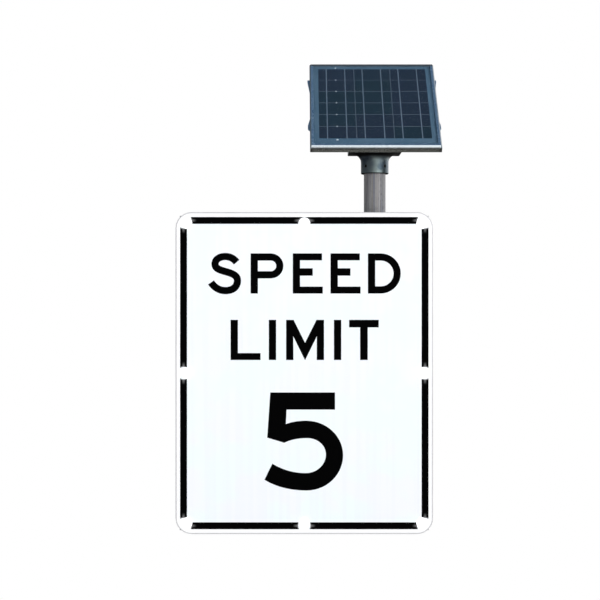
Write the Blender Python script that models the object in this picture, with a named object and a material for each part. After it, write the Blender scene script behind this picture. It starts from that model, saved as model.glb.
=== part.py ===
"""Solar speed sign: a 24 x 30 inch speed sign with eight border lights, carried on two
rails, with a control box behind it and a tilting solar panel on a mast.

X runs to the right as a driver sees it, Z is up and the printed face looks along -Y.
The origin is the middle of the post plate's rear face. All lengths are in metres.
"""

from math import asin, cos, degrees, pi, radians, sin

import bmesh
import bpy

# ------------------------------------------------------------------ driving dimensions
GAP = 0.0003                  # clearance between neighbouring pieces
MAST_SIDES = 32               # facets of the mast and of what fits around it
SMALL_SIDES = 12              # facets of small turned pieces
HEX = 6

SIGN_WIDTH = 0.6096
SIGN_HEIGHT = 0.762
SIGN_CORNER = 0.038
SIGN_SHEET = 0.0032
FILM_SHEET = 0.0005
FILM_MARGIN = 0.0008          # bare edge of the sheet around the film

LIGHT_INSET = 0.0265          # from the sign's edge to a light's centre
LIGHT_LENS_RADIUS = 0.0130
LIGHT_BARREL_RADIUS = 0.0079
LIGHT_HOLE_RADIUS = 0.0085

WIREWAY_WIDTH = 0.034
WIREWAY_DEPTH = 0.022
WIREWAY_WALL = 0.0016
WIREWAY_END = 0.018           # how far a wireway runs on past its last light
WIRE_NOTCH = (0.026, 0.0185)  # height and depth of the wires' doorway where two wireways meet

RAIL_LENGTH = 0.500
RAIL_HEIGHT = 0.040
RAIL_DEPTH = 0.026
RAIL_WALL = 0.0025
RAIL_SLOT = 0.011
RAIL_Z = 0.200                # height of each rail above and below the sign's centre

POST_PLATE_WIDTH = 0.090
POST_PLATE_HEIGHT = 0.470
POST_PLATE_SHEET = 0.006
POST_BOLT_Z = 0.130
POST_BOLT_RADIUS = 0.0048

MAST_X = 0.170
MAST_Y = 0.028
MAST_RADIUS = 0.0262
MAST_WALL = 0.0028
MAST_BOTTOM = -0.240
MAST_TOP = 0.5205
CLAMP_RADIUS = 0.0267         # bores that take the mast
STRAP_SHEET = 0.004
STRAP_HALF_WIDTH = 0.045
STRAP_HALF_HEIGHT = 0.015
CHEEK_Y = 0.014               # rear faces of the saddle's two cheeks
STRAP_BOLT_X = 0.037

BOX_LEFT = -0.240
BOX_RIGHT = -0.052
BOX_HALF_HEIGHT = 0.170
BOX_FRONT = -0.026
BOX_REAR = 0.058
BOX_WALL = 0.003
BOX_CORNER = 0.010
GASKET_SHEET = 0.0014
DOOR_SHEET = 0.0045
DOOR_PAD = 0.003
HINGE_X = -0.246
HINGE_Y = 0.060
KNUCKLE_RADIUS = 0.0045
KNUCKLE_SPLIT = 0.060         # the door's knuckle reaches this far up and down
KNUCKLE_END = 0.120
LATCH_X = -0.080
NIPPLE_Y = -0.0175            # wire nipple between the left wireway and the box
NIPPLE_Z = 0.060
NIPPLE_HOLE = 0.0041

COLLAR_RADIUS = 0.0333
COLLAR_DEPTH = 0.0580         # from the flange's top to the collar's lower rim
FLANGE_TOP = 0.5344
FLANGE_WIDTH = 0.1265
FLANGE_SHEET = 0.008
FLANGE_FILLET = (0.0285, 0.0217)   # how far the collar flares out and over what height
SET_SCREW_DEPTH = 0.0402      # below the flange's top
SET_SCREW_END = 0.0318        # outer end of a set screw, from the mast's axis
YOKE_BOLT_OFFSET = 0.047
PIVOT_HEIGHT = 0.0560         # above the flange's top

PANEL_TILT = 45               # degrees from level at rest
PANEL_WIDTH = 0.3075
PANEL_SHIFT = -0.0029         # the panel's middle, left of the mast's axis
PANEL_LOW = -0.132            # lower edge, measured up the slope from the pivot
PANEL_HIGH = 0.1938
PANEL_BACK = 0.0285           # rear plane of the frame, out from the pivot
PANEL_DEPTH = 0.0185
MITRE_GAP = 0.00025

# ------------------------------------------------------------------ levels worked out from them
RAIL_BACK_Y = -(POST_PLATE_SHEET + GAP)
RAIL_FRONT_Y = RAIL_BACK_Y - RAIL_DEPTH
SIGN_BACK_Y = RAIL_FRONT_Y - GAP
SIGN_FRONT_Y = SIGN_BACK_Y - SIGN_SHEET
FILM_BACK_Y = SIGN_FRONT_Y - GAP
LENS_BACK_Y = FILM_BACK_Y - FILM_SHEET - GAP
LIGHT_X = SIGN_WIDTH / 2 - LIGHT_INSET
LIGHT_Z = SIGN_HEIGHT / 2 - LIGHT_INSET
WIREWAY_BACK_Y = RAIL_FRONT_Y + WIREWAY_DEPTH
BOX_X = (BOX_LEFT + BOX_RIGHT) / 2
BOX_WIDTH = BOX_RIGHT - BOX_LEFT
DOOR_FRONT = BOX_REAR + GAP + GASKET_SHEET + GAP

# colour, roughness and metallic value of each finish
FINISHES = {
    "sheet": ((0.72, 0.73, 0.74), 0.45, 0.8),
    "film": ((0.93, 0.96, 0.97), 0.35, 0.0),
    "light": ((0.95, 0.97, 1.0), 0.15, 0.0),
    "extrusion": ((0.55, 0.56, 0.57), 0.4, 0.9),
    "zinc": ((0.45, 0.46, 0.47), 0.5, 0.9),
    "casting": ((0.10, 0.13, 0.13), 0.55, 0.6),
    "black_steel": ((0.03, 0.03, 0.03), 0.4, 0.6),
    "grey_box": ((0.42, 0.43, 0.43), 0.5, 0.0),
    "black_plastic": ((0.02, 0.02, 0.02), 0.5, 0.0),
    "rubber": ((0.015, 0.015, 0.015), 0.8, 0.0),
    "board": ((0.02, 0.12, 0.05), 0.4, 0.0),
    "green_block": ((0.03, 0.25, 0.09), 0.4, 0.0),
    "red_button": ((0.6, 0.03, 0.02), 0.35, 0.0),
    "frame_blue": ((0.11, 0.17, 0.23), 0.35, 0.7),
    "glass": ((0.10, 0.13, 0.18), 0.05, 0.0),
    "cells": ((0.016, 0.03, 0.055), 0.3, 0.0),
}


# ------------------------------------------------------------------ shapes
def level(outline, depth, axis):
    """A flat outline laid across one axis at the given depth."""
    if axis == "X":
        return [(depth, a, b) for a, b in outline]
    if axis == "Y":
        return [(a, depth, b) for a, b in outline]
    return [(a, b, depth) for a, b in outline]


def skin(loops, cyclic=False):
    """A closed body through matching loops, capped at both ends or joined end to end."""
    bm = bmesh.new()
    rings = [[bm.verts.new(point) for point in loop] for loop in loops]
    pairs = list(zip(rings, rings[1:]))
    if cyclic:
        pairs.append((rings[-1], rings[0]))
    else:
        bm.faces.new(rings[0])
        bm.faces.new(rings[-1])
    for first, second in pairs:
        count = len(first)
        for i in range(count):
            j = (i + 1) % count
            bm.faces.new((first[i], first[j], second[j], second[i]))
    bmesh.ops.recalc_face_normals(bm, faces=bm.faces)
    return bm


def prism(outline, low, high, axis):
    return skin([level(outline, low, axis), level(outline, high, axis)])


def ring_prism(outer, inner, low, high, axis):
    """A frame: the stretch between two matching outlines."""
    loops = [level(outer, low, axis), level(outer, high, axis)]
    loops += [level(inner, high, axis), level(inner, low, axis)]
    return skin(loops, cyclic=True)


def open_case(outer, inner, closed_at, floor_at, open_at, axis):
    """A case with one open side, between two matching outlines."""
    loops = [level(outer, closed_at, axis), level(outer, open_at, axis)]
    loops += [level(inner, open_at, axis), level(inner, floor_at, axis)]
    return skin(loops)


def turned(profile, sides, axis, hollow=False, centre=(0, 0)):
    """A body of revolution through (radius, height) pairs."""
    loops = [level(circle(radius, sides, centre), height, axis) for radius, height in profile]
    return skin(loops, cyclic=hollow)


def block(x_span, y_span, z_span):
    (x0, x1), (y0, y1), (z0, z1) = x_span, y_span, z_span
    return prism([(x0, y0), (x1, y0), (x1, y1), (x0, y1)], z0, z1, "Z")


def circle(radius, sides, centre=(0, 0)):
    """A polygon whose flats face the outline's own two axes."""
    angles = [2 * pi * (i + 0.5) / sides for i in range(sides)]
    return [(centre[0] + radius * cos(a), centre[1] + radius * sin(a)) for a in angles]


def arc(centre, radius, start, end, steps):
    """Points along an arc, both ends included; angles in degrees."""
    angles = [radians(start + (end - start) * i / steps) for i in range(steps + 1)]
    return [(centre[0] + radius * cos(a), centre[1] + radius * sin(a)) for a in angles]


def rounded(width, height, radius, steps, centre=(0, 0)):
    """A rectangle with round corners, anticlockwise."""
    points = []
    reach_x, reach_y = width / 2 - radius, height / 2 - radius
    for i, (side_x, side_y) in enumerate([(1, 1), (-1, 1), (-1, -1), (1, -1)]):
        corner = (centre[0] + side_x * reach_x, centre[1] + side_y * reach_y)
        points += arc(corner, radius, 90 * i, 90 * (i + 1), steps)
    return points


def rectangle(width, height, centre=(0, 0)):
    x, y = centre
    half_x, half_y = width / 2, height / 2
    return [(x - half_x, y - half_y), (x + half_x, y - half_y),
            (x + half_x, y + half_y), (x - half_x, y + half_y)]


def gather(bodies):
    """Several separate bodies in one mesh, for a cutter or an addition."""
    together = bmesh.new()
    for body in bodies:
        scratch = bpy.data.meshes.new("scratch")
        body.to_mesh(scratch)
        body.free()
        together.from_mesh(scratch)
        bpy.data.meshes.remove(scratch)
    return together


# ------------------------------------------------------------------ objects
def material_for(name, finish):
    colour, roughness, metallic = FINISHES[finish]
    material = bpy.data.materials.new(name)
    material.use_nodes = True
    shader = material.node_tree.nodes["Principled BSDF"]
    shader.inputs["Base Color"].default_value = (*colour, 1.0)
    shader.inputs["Roughness"].default_value = roughness
    shader.inputs["Metallic"].default_value = metallic
    return material


def add(name, body, parent=None, location=(0, 0, 0), rotation=(0, 0, 0)):
    mesh = bpy.data.meshes.new(name)
    body.to_mesh(mesh)
    body.free()
    thing = bpy.data.objects.new(name, mesh)
    thing.parent = parent
    thing.location = location
    thing.rotation_euler = [radians(angle) for angle in rotation]
    bpy.context.scene.collection.objects.link(thing)
    return thing


def piece(name, body, finish, parent=None, location=(0, 0, 0), rotation=(0, 0, 0)):
    """One sub-part with its own material."""
    thing = add(name, body, parent, location, rotation)
    thing.data.materials.append(material_for(name, finish))
    thing.data.shade_smooth()
    thing.data.set_sharp_from_angle(angle=radians(35))
    return thing


def helper(name, body, parent=None, location=(0, 0, 0), rotation=(0, 0, 0)):
    """A cutter or an addition, not a piece of the sign."""
    thing = add(name, body, parent, location, rotation)
    thing.hide_render = True
    thing.display_type = "WIRE"
    return thing


def boolean(thing, other, operation):
    modifier = thing.modifiers.new(other.name, "BOOLEAN")
    modifier.operation = operation
    modifier.solver = "EXACT"
    modifier.object = other


def cut(thing, other):
    boolean(thing, other, "DIFFERENCE")


def join(thing, other):
    boolean(thing, other, "UNION")


def empty(name, parent=None, location=(0, 0, 0), rotation=(0, 0, 0)):
    thing = bpy.data.objects.new(name, None)
    thing.parent = parent
    thing.location = location
    thing.rotation_euler = [radians(angle) for angle in rotation]
    bpy.context.scene.collection.objects.link(thing)
    return thing


def hex_bolt(name, parent, location, axis, head, grip, nut, direction=1):
    """Head, shank and nut as one body; the head sits on the plus side of the axis.

    head, shank and nut are (radius, length) pairs, and grip is (radius, low, high).
    """
    shank, low, high = grip
    profile = [(head[0], high + head[1]), (head[0], high), (shank, high),
               (shank, low), (nut[0], low), (nut[0], low - nut[1])]
    profile = [(radius, direction * height) for radius, height in profile]
    return piece(name, turned(profile, HEX, axis), "zinc", parent, location)


# ------------------------------------------------------------------ the sign's face
def light_places():
    """Name and centre of each border light, clockwise from the top left corner."""
    return [("top_left", -LIGHT_X, LIGHT_Z), ("top_middle", 0, LIGHT_Z),
            ("top_right", LIGHT_X, LIGHT_Z), ("right_middle", LIGHT_X, 0),
            ("bottom_right", LIGHT_X, -LIGHT_Z), ("bottom_middle", 0, -LIGHT_Z),
            ("bottom_left", -LIGHT_X, -LIGHT_Z), ("left_middle", -LIGHT_X, 0)]


def build_face():
    margin = 0.004
    drills = [turned([(LIGHT_HOLE_RADIUS, LENS_BACK_Y - margin), (LIGHT_HOLE_RADIUS, SIGN_BACK_Y + margin)],
                     SMALL_SIDES, "Y", centre=(x, z)) for _, x, z in light_places()]
    holes = helper("light_holes", gather(drills))
    sheet = rounded(SIGN_WIDTH, SIGN_HEIGHT, SIGN_CORNER, 6)
    cut(piece("sign_panel", prism(sheet, SIGN_FRONT_Y, SIGN_BACK_Y, "Y"), "sheet"), holes)
    film = rounded(SIGN_WIDTH - 2 * FILM_MARGIN, SIGN_HEIGHT - 2 * FILM_MARGIN, SIGN_CORNER - FILM_MARGIN, 6)
    cut(piece("reflective_sheeting", prism(film, FILM_BACK_Y - FILM_SHEET, FILM_BACK_Y, "Y"), "film"), holes)


def build_lights():
    """Each light is a sealed unit: domed lens in front, threaded barrel and nut behind."""
    rim = 0.001
    nut_radius = 0.012
    nut_front = SIGN_BACK_Y + GAP - LENS_BACK_Y
    nut_back = nut_front + 0.006
    tail = nut_front + 0.014
    profile = [(0.004, -0.0045), (0.009, -0.0035), (LIGHT_LENS_RADIUS, -rim), (LIGHT_LENS_RADIUS, 0),
               (LIGHT_BARREL_RADIUS, 0), (LIGHT_BARREL_RADIUS, nut_front), (nut_radius, nut_front),
               (nut_radius, nut_back), (LIGHT_BARREL_RADIUS, nut_back), (LIGHT_BARREL_RADIUS, tail)]
    for place, x, z in light_places():
        piece("led_" + place, turned(profile, SMALL_SIDES, "Y"), "light", location=(x, LENS_BACK_Y, z))


def wireway(name, length_x, length_z, location):
    """A shallow folded cover whose open side lies on the back of the sign."""
    outer = rectangle(length_x, length_z)
    inner = rectangle(length_x - 2 * WIREWAY_WALL, length_z - 2 * WIREWAY_WALL)
    body = open_case(outer, inner, WIREWAY_DEPTH, WIREWAY_DEPTH - WIREWAY_WALL, 0, "Y")
    return piece(name, body, "sheet", location=location)


def build_wireways():
    """Two closed uprights and two cross channels that open into them through a doorway at each corner."""
    upright_length = 2 * (LIGHT_Z + WIREWAY_END)
    cross_length = 2 * (LIGHT_X - WIREWAY_WIDTH / 2 - GAP)
    uprights = [wireway("wireway_" + side, WIREWAY_WIDTH, upright_length, (x, RAIL_FRONT_Y, 0))
                for side, x in (("left", -LIGHT_X), ("right", LIGHT_X))]
    notch_height, notch_depth = WIRE_NOTCH
    doorway_low = RAIL_FRONT_Y + 0.001
    doorway_x = LIGHT_X - LIGHT_LENS_RADIUS
    half, inside = WIREWAY_WIDTH / 2, WIREWAY_WIDTH / 2 - WIREWAY_WALL
    roof = WIREWAY_DEPTH - WIREWAY_WALL
    channel = [(0, -half), (WIREWAY_DEPTH, -half), (WIREWAY_DEPTH, half), (0, half), (0, inside), (roof, inside),
               (roof, -inside), (0, -inside)]
    for side, middle in (("top", LIGHT_Z), ("bottom", -LIGHT_Z)):
        body = prism(channel, -cross_length / 2, cross_length / 2, "X")
        piece("wireway_" + side, body, "sheet", location=(0, RAIL_FRONT_Y, middle))
        cutter = block((-doorway_x, doorway_x), (doorway_low, doorway_low + notch_depth),
                       (middle - notch_height / 2, middle + notch_height / 2))
        doorway = helper("wire_doorway_" + side, cutter)
        for upright in uprights:
            cut(upright, doorway)


# ------------------------------------------------------------------ rails, post plate and mast
def build_rails():
    """Slotted extrusions fixed across the back of the sign, open side to the rear."""
    half = RAIL_HEIGHT / 2
    lip = RAIL_SLOT / 2
    front, back, wall = RAIL_FRONT_Y, RAIL_BACK_Y, RAIL_WALL
    outline = [(front, -half), (back, -half), (back, -lip), (back - wall, -lip),
               (back - wall, wall - half), (front + wall, wall - half),
               (front + wall, half - wall), (back - wall, half - wall),
               (back - wall, lip), (back, lip), (back, half), (front, half)]
    for name, z in (("rail_upper", RAIL_Z), ("rail_lower", -RAIL_Z)):
        body = prism(outline, -RAIL_LENGTH / 2, RAIL_LENGTH / 2, "X")
        piece(name, body, "extrusion", location=(0, 0, z))


def build_post_plate():
    rail_bolt_x = 0.030
    rail_bolt_radius = 0.0042
    outline = rounded(POST_PLATE_WIDTH, POST_PLATE_HEIGHT, 0.010, 3)
    plate = piece("post_plate", prism(outline, -POST_PLATE_SHEET, 0, "Y"), "zinc")
    span = (-POST_PLATE_SHEET - 0.002, 0.002)
    drills = [turned([(POST_BOLT_RADIUS, y) for y in span], SMALL_SIDES, "Y", centre=(0, z))
              for z in (-POST_BOLT_Z, POST_BOLT_Z)]
    drills += [turned([(rail_bolt_radius, y) for y in span], SMALL_SIDES, "Y", centre=(x, z))
               for x in (-rail_bolt_x, rail_bolt_x) for z in (-RAIL_Z, RAIL_Z)]
    cut(plate, helper("plate_holes", gather(drills)))


def build_mast():
    bore = MAST_RADIUS - MAST_WALL
    outer, inner = circle(MAST_RADIUS, MAST_SIDES), circle(bore, MAST_SIDES)
    tube = ring_prism(outer, inner, MAST_BOTTOM, MAST_TOP, "Z")
    piece("mast", tube, "zinc", location=(MAST_X, MAST_Y, 0))
    spigot = bore - 0.0005
    profile = [(MAST_RADIUS - 0.0015, -0.0050), (MAST_RADIUS - 0.0005, -0.0040), (MAST_RADIUS - 0.0005, -GAP),
               (spigot, -GAP), (spigot, 0.018)]
    plug = turned(profile, MAST_SIDES, "Z")
    piece("mast_plug", plug, "black_plastic", location=(MAST_X, MAST_Y, MAST_BOTTOM))


def saddle_outline():
    """Block with a round seat for the mast, in X from the mast's axis and world Y."""
    seat = degrees(asin((CHEEK_Y - MAST_Y) / CLAMP_RADIUS))
    base = RAIL_BACK_Y + GAP
    points = [(-STRAP_HALF_WIDTH, base), (STRAP_HALF_WIDTH, base), (STRAP_HALF_WIDTH, CHEEK_Y)]
    points += arc((0, MAST_Y), CLAMP_RADIUS, seat, -180 - seat, 12)
    return points + [(-STRAP_HALF_WIDTH, CHEEK_Y)]


def strap_outline():
    """Band around the rear of the mast with a flat ear at each end."""
    ear_low, ear_high = CHEEK_Y + GAP, CHEEK_Y + GAP + STRAP_SHEET
    outer = CLAMP_RADIUS + STRAP_SHEET
    inside = degrees(asin((ear_low - MAST_Y) / CLAMP_RADIUS))
    outside = degrees(asin((ear_high - MAST_Y) / outer))
    points = [(-STRAP_HALF_WIDTH, ear_low)]
    points += arc((0, MAST_Y), CLAMP_RADIUS, 180 - inside, inside, 16)
    points += [(STRAP_HALF_WIDTH, ear_low), (STRAP_HALF_WIDTH, ear_high)]
    points += arc((0, MAST_Y), outer, outside, 180 - outside, 16)
    return points + [(-STRAP_HALF_WIDTH, ear_high)]


def build_mast_clamps():
    ear_back = CHEEK_Y + GAP + STRAP_SHEET
    nut_front = RAIL_BACK_Y - RAIL_WALL - GAP
    bolt_radius = 0.0031
    hole = [(0.0037, RAIL_BACK_Y - 0.001), (0.0037, ear_back + 0.002)]
    for level_name, z in (("upper", RAIL_Z), ("lower", -RAIL_Z)):
        place = (MAST_X, 0, z)
        drills = [turned(hole, SMALL_SIDES, "Y", centre=(x, 0)) for x in (-STRAP_BOLT_X, STRAP_BOLT_X)]
        holes = helper("strap_holes_" + level_name, gather(drills), location=place)
        saddle = prism(saddle_outline(), -RAIL_HEIGHT / 2, RAIL_HEIGHT / 2, "Z")
        cut(piece("mast_saddle_" + level_name, saddle, "casting", location=place), holes)
        strap = prism(strap_outline(), -STRAP_HALF_HEIGHT, STRAP_HALF_HEIGHT, "Z")
        cut(piece("mast_strap_" + level_name, strap, "zinc", location=place), holes)
        for side, x in (("left", -STRAP_BOLT_X), ("right", STRAP_BOLT_X)):
            hex_bolt("strap_bolt_" + level_name + "_" + side, None, (MAST_X + x, 0, z), "Y",
                     (0.0065, 0.005), (bolt_radius, nut_front, ear_back + GAP), (0.0078, 0.005))


# ------------------------------------------------------------------ control box
def box_knuckle_outline():
    root = BOX_LEFT + 0.001
    points = [(root, HINGE_Y - 0.011), (root, HINGE_Y - 0.0025)]
    return points + arc((HINGE_X, HINGE_Y), KNUCKLE_RADIUS, -35, 215, 10)


def door_knuckle_outline():
    root = BOX_LEFT + 0.001
    points = [(root, DOOR_FRONT + 0.0003), (root, DOOR_FRONT + 0.004)]
    return points + arc((HINGE_X, HINGE_Y), KNUCKLE_RADIUS, 80, 350, 10)


def build_control_box():
    """Case open to the rear, with lugs to the rails, a battery shelf and hinge knuckles."""
    outer = rounded(BOX_WIDTH, 2 * BOX_HALF_HEIGHT, BOX_CORNER, 3)
    inner = rounded(BOX_WIDTH - 2 * BOX_WALL, 2 * (BOX_HALF_HEIGHT - BOX_WALL), BOX_CORNER - BOX_WALL, 3)
    body = open_case(outer, inner, BOX_FRONT, BOX_FRONT + BOX_WALL, BOX_REAR, "Y")
    case = piece("control_box", body, "grey_box", location=(BOX_X, 0, 0))

    lug_y = (RAIL_BACK_Y + GAP, RAIL_BACK_Y + GAP + 0.0035)
    lug_top = RAIL_Z + 0.015
    bite = 0.0015             # how far an addition runs into the wall it grows from
    extras = []
    for x in (BOX_LEFT + 0.030, BOX_RIGHT - 0.030):
        for side in (1, -1):
            span = sorted((side * (BOX_HALF_HEIGHT - bite), side * lug_top))
            extras.append(block((x - 0.014, x + 0.014), lug_y, span))
    shelf_x = (BOX_LEFT + bite, BOX_RIGHT - bite)
    extras.append(block(shelf_x, (BOX_FRONT + bite, 0.030), (-0.154, -0.151)))
    extras.append(prism(box_knuckle_outline(), KNUCKLE_SPLIT + GAP, KNUCKLE_END, "Z"))
    extras.append(prism(box_knuckle_outline(), -KNUCKLE_END, -KNUCKLE_SPLIT - GAP, "Z"))
    join(case, helper("box_additions", gather(extras)))

    floor_span = (-BOX_HALF_HEIGHT - 0.003, -BOX_HALF_HEIGHT + 0.005)
    pin_reach = KNUCKLE_END + 0.002
    drills = [turned([(0.0064, z) for z in floor_span], SMALL_SIDES, "Z", centre=(-0.100, 0.010)),
              turned([(0.0054, z) for z in floor_span], SMALL_SIDES, "Z", centre=(-0.160, 0.010)),
              block((-0.2014, -0.1886), (0.0, 0.020), floor_span),
              turned([(0.0024, -pin_reach), (0.0024, pin_reach)], SMALL_SIDES, "Z", centre=(HINGE_X, HINGE_Y)),
              turned([(NIPPLE_HOLE, BOX_LEFT - 0.002), (NIPPLE_HOLE, BOX_LEFT + 0.005)], SMALL_SIDES, "X",
                     centre=(NIPPLE_Y, NIPPLE_Z))]
    cut(case, helper("box_drillings", gather(drills)))

    gasket_outer = rounded(BOX_WIDTH - 0.001, 2 * BOX_HALF_HEIGHT - 0.001, BOX_CORNER, 3)
    gasket_inner = rounded(BOX_WIDTH - 0.011, 2 * BOX_HALF_HEIGHT - 0.011, BOX_CORNER - 0.005, 3)
    gasket = ring_prism(gasket_outer, gasket_inner, BOX_REAR + GAP, BOX_REAR + GAP + GASKET_SHEET, "Y")
    piece("box_gasket", gasket, "rubber", location=(BOX_X, 0, 0))


def build_fittings():
    """What passes through the box's walls: wire nipple, solar gland, hinge pin."""
    wall_in, wall_out = BOX_LEFT + BOX_WALL, BOX_LEFT
    way_out = -LIGHT_X + WIREWAY_WIDTH / 2
    way_in = way_out - WIREWAY_WALL
    nut, thread, waist = 0.0051, 0.0038, 0.0062
    profile = [(nut, way_in - GAP - 0.0025), (nut, way_in - GAP), (thread, way_in - GAP),
               (thread, way_out + GAP), (waist, way_out + GAP), (waist, wall_out - GAP),
               (thread, wall_out - GAP), (thread, wall_in + GAP), (nut, wall_in + GAP),
               (nut, wall_in + GAP + 0.003)]
    nipple = turned(profile, SMALL_SIDES, "X")
    piece("conduit_nipple", nipple, "zinc", location=(0, NIPPLE_Y, NIPPLE_Z))
    entry = helper("nipple_entry", turned([(NIPPLE_HOLE, way_in - 0.002), (NIPPLE_HOLE, way_out + 0.002)],
                                          SMALL_SIDES, "X", centre=(NIPPLE_Y, NIPPLE_Z)))
    cut(bpy.data.objects["wireway_left"], entry)

    inside, outside = BOX_WALL + GAP, -GAP
    profile = [(0.0085, inside + 0.0042), (0.0085, inside), (0.0060, inside), (0.0060, outside),
               (0.0095, outside), (0.0095, -0.0053), (0.0078, -0.0053), (0.0078, -0.0160),
               (0.0060, -0.0195), (0.0035, -0.0195), (0.0035, -0.0150)]
    gland = turned(profile, SMALL_SIDES, "Z")
    piece("solar_gland", gland, "black_plastic", location=(-0.100, 0.010, -BOX_HALF_HEIGHT))

    reach = KNUCKLE_END + GAP
    profile = [(0.0035, -reach - 0.002), (0.0035, -reach), (0.0020, -reach), (0.0020, reach + 0.002)]
    piece("hinge_pin", turned(profile, SMALL_SIDES, "Z"), "zinc", location=(HINGE_X, HINGE_Y, 0))


def build_box_contents():
    battery_x, battery_z = (-0.2185, -0.0675), (-0.1505, -0.0565)
    battery_y = (BOX_FRONT + BOX_WALL + 0.0025, 0.0445)
    battery = piece("battery", block(battery_x, battery_y, battery_z), "black_plastic")
    posts = [block((x - 0.004, x + 0.004), (0.020, 0.030), (battery_z[1] - 0.001, battery_z[1] + 0.006))
             for x in (-0.200, -0.086)]
    join(battery, helper("battery_posts", gather(posts)))

    slack, band, foot = 0.0004, 0.0015, 0.009
    left, right, rear = battery_x[0] - slack, battery_x[1] + slack, battery_y[1] + slack
    base = BOX_FRONT + BOX_WALL + GAP
    outline = [(left - foot, base), (left, base), (left, rear), (right, rear), (right, base),
               (right + foot, base), (right + foot, base + band), (right + band, base + band),
               (right + band, rear + band), (left - band, rear + band), (left - band, base + band),
               (left - foot, base + band)]
    piece("battery_strap", prism(outline, -0.115, -0.093, "Z"), "zinc")

    board_x, board_z = (-0.205, -0.085), (0.012, 0.130)
    board_y = (-0.013, -0.0114)
    board = piece("controller_board", block(board_x, board_y, board_z), "board")
    top = board_y[1] - 0.0002
    parts = [block((-0.195, -0.160), (top, 0.006), (0.090, 0.122)),
             block((-0.150, -0.132), (top, -0.004), (0.095, 0.113)),
             block((-0.200, -0.170), (top, -0.007), (0.050, 0.080)),
             block((-0.110, -0.092), (top, -0.002), (0.060, 0.075))]
    parts += [turned([(0.006, top), (0.006, 0.009)], SMALL_SIDES, "Y", centre=(x, 0.110)) for x in (-0.118, -0.100)]
    standoff = [(0.0035, BOX_FRONT + BOX_WALL + GAP), (0.0035, board_y[0] + 0.0002)]
    parts += [turned(standoff, HEX, "Y", centre=(x, z)) for x in (-0.199, -0.091) for z in (0.018, 0.124)]
    join(board, helper("board_components", gather(parts)))

    block_x, block_z = (-0.185, -0.105), (0.022, 0.036)
    base = board_y[1] + GAP
    outline = [(base, block_z[0]), (base + 0.008, block_z[0]), (base + 0.012, block_z[0] + 0.005),
               (base + 0.012, block_z[1]), (base, block_z[1])]
    terminals = piece("terminal_block", prism(outline, *block_x, "X"), "green_block")
    count = 6
    pitch = (block_x[1] - block_x[0]) / count
    wells = [turned([(0.0028, base + 0.009), (0.0028, base + 0.014)], HEX, "Y",
                    centre=(block_x[0] + pitch * (i + 0.5), block_z[1] - 0.005)) for i in range(count)]
    cut(terminals, helper("terminal_wells", gather(wells)))


def build_door():
    """Door hinged on the outboard side; at rest it is shut and its latch is turned home."""
    axis = empty("door_axis", location=(HINGE_X, HINGE_Y, 0))
    shift = (-HINGE_X, -HINGE_Y, 0)
    left, right = HINGE_X + 0.0052, BOX_RIGHT + 0.002
    centre = ((left + right) / 2, 0)
    height = 2 * BOX_HALF_HEIGHT + 0.002
    pad_inset = 0.015
    plate = rounded(right - left, height, BOX_CORNER, 3, centre)
    pad_foot = rounded(right - left - 2 * pad_inset, height - 2 * pad_inset, BOX_CORNER, 3, centre)
    pad_top = rounded(right - left - 2 * pad_inset - 0.006, height - 2 * pad_inset - 0.006, 0.008, 3, centre)
    back = DOOR_FRONT + DOOR_SHEET
    body = skin([level(plate, DOOR_FRONT, "Y"), level(plate, back, "Y"), level(pad_foot, back, "Y"),
                 level(pad_top, back + DOOR_PAD, "Y")])
    door = piece("box_door", body, "grey_box", axis, shift)
    ear = prism(door_knuckle_outline(), -KNUCKLE_SPLIT, KNUCKLE_SPLIT, "Z")
    join(door, helper("door_ear", ear, axis, shift))
    drills = [turned([(0.0024, -0.062), (0.0024, 0.062)], SMALL_SIDES, "Z", centre=(HINGE_X, HINGE_Y)),
              turned([(0.0066, DOOR_FRONT - 0.002), (0.0066, back + 0.006)], SMALL_SIDES, "Y", centre=(LATCH_X, 0))]
    cut(door, helper("door_drillings", gather(drills), axis, shift))

    head_low = back + DOOR_PAD + GAP
    profile = [(0.0100, head_low + 0.0030), (0.0110, head_low + 0.0020), (0.0110, head_low),
               (0.0062, head_low), (0.0062, 0.0480)]
    place = (LATCH_X - HINGE_X, -HINGE_Y, 0)
    latch = piece("door_latch", turned(profile, SMALL_SIDES, "Y"), "zinc", axis, place)
    cam = block((-0.005, 0.0225), (0.0475, 0.0505), (-0.0055, 0.0055))
    join(latch, helper("latch_cam", cam, axis, place))
    slot = block((-0.0080, 0.0080), (head_low + 0.0018, head_low + 0.006), (-0.0010, 0.0010))
    cut(latch, helper("latch_slot", slot, axis, place))


def build_controls():
    """Rocker switch and test button in the box's floor, where rain cannot stand on them."""
    tip, heel, crown, dip = 0.009, 0.002, -0.0056, -0.0045
    outline = [(-tip, heel), (-tip, crown), (0, dip), (tip, crown), (tip, heel)]
    rocker = prism(outline, -0.006, 0.006, "X")
    place = (-0.195, 0.010, -BOX_HALF_HEIGHT + 0.0045)
    piece("power_rocker", rocker, "black_plastic", location=place, rotation=(7, 0, 0))

    flange_low = BOX_WALL + GAP
    profile = [(0.0042, -0.0045), (0.0050, -0.0037), (0.0050, flange_low), (0.0070, flange_low),
               (0.0070, flange_low + 0.002), (0.0030, flange_low + 0.002), (0.0030, flange_low + 0.007)]
    button = turned(profile, SMALL_SIDES, "Z")
    piece("test_button", button, "red_button", location=(-0.160, 0.010, -BOX_HALF_HEIGHT))


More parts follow.
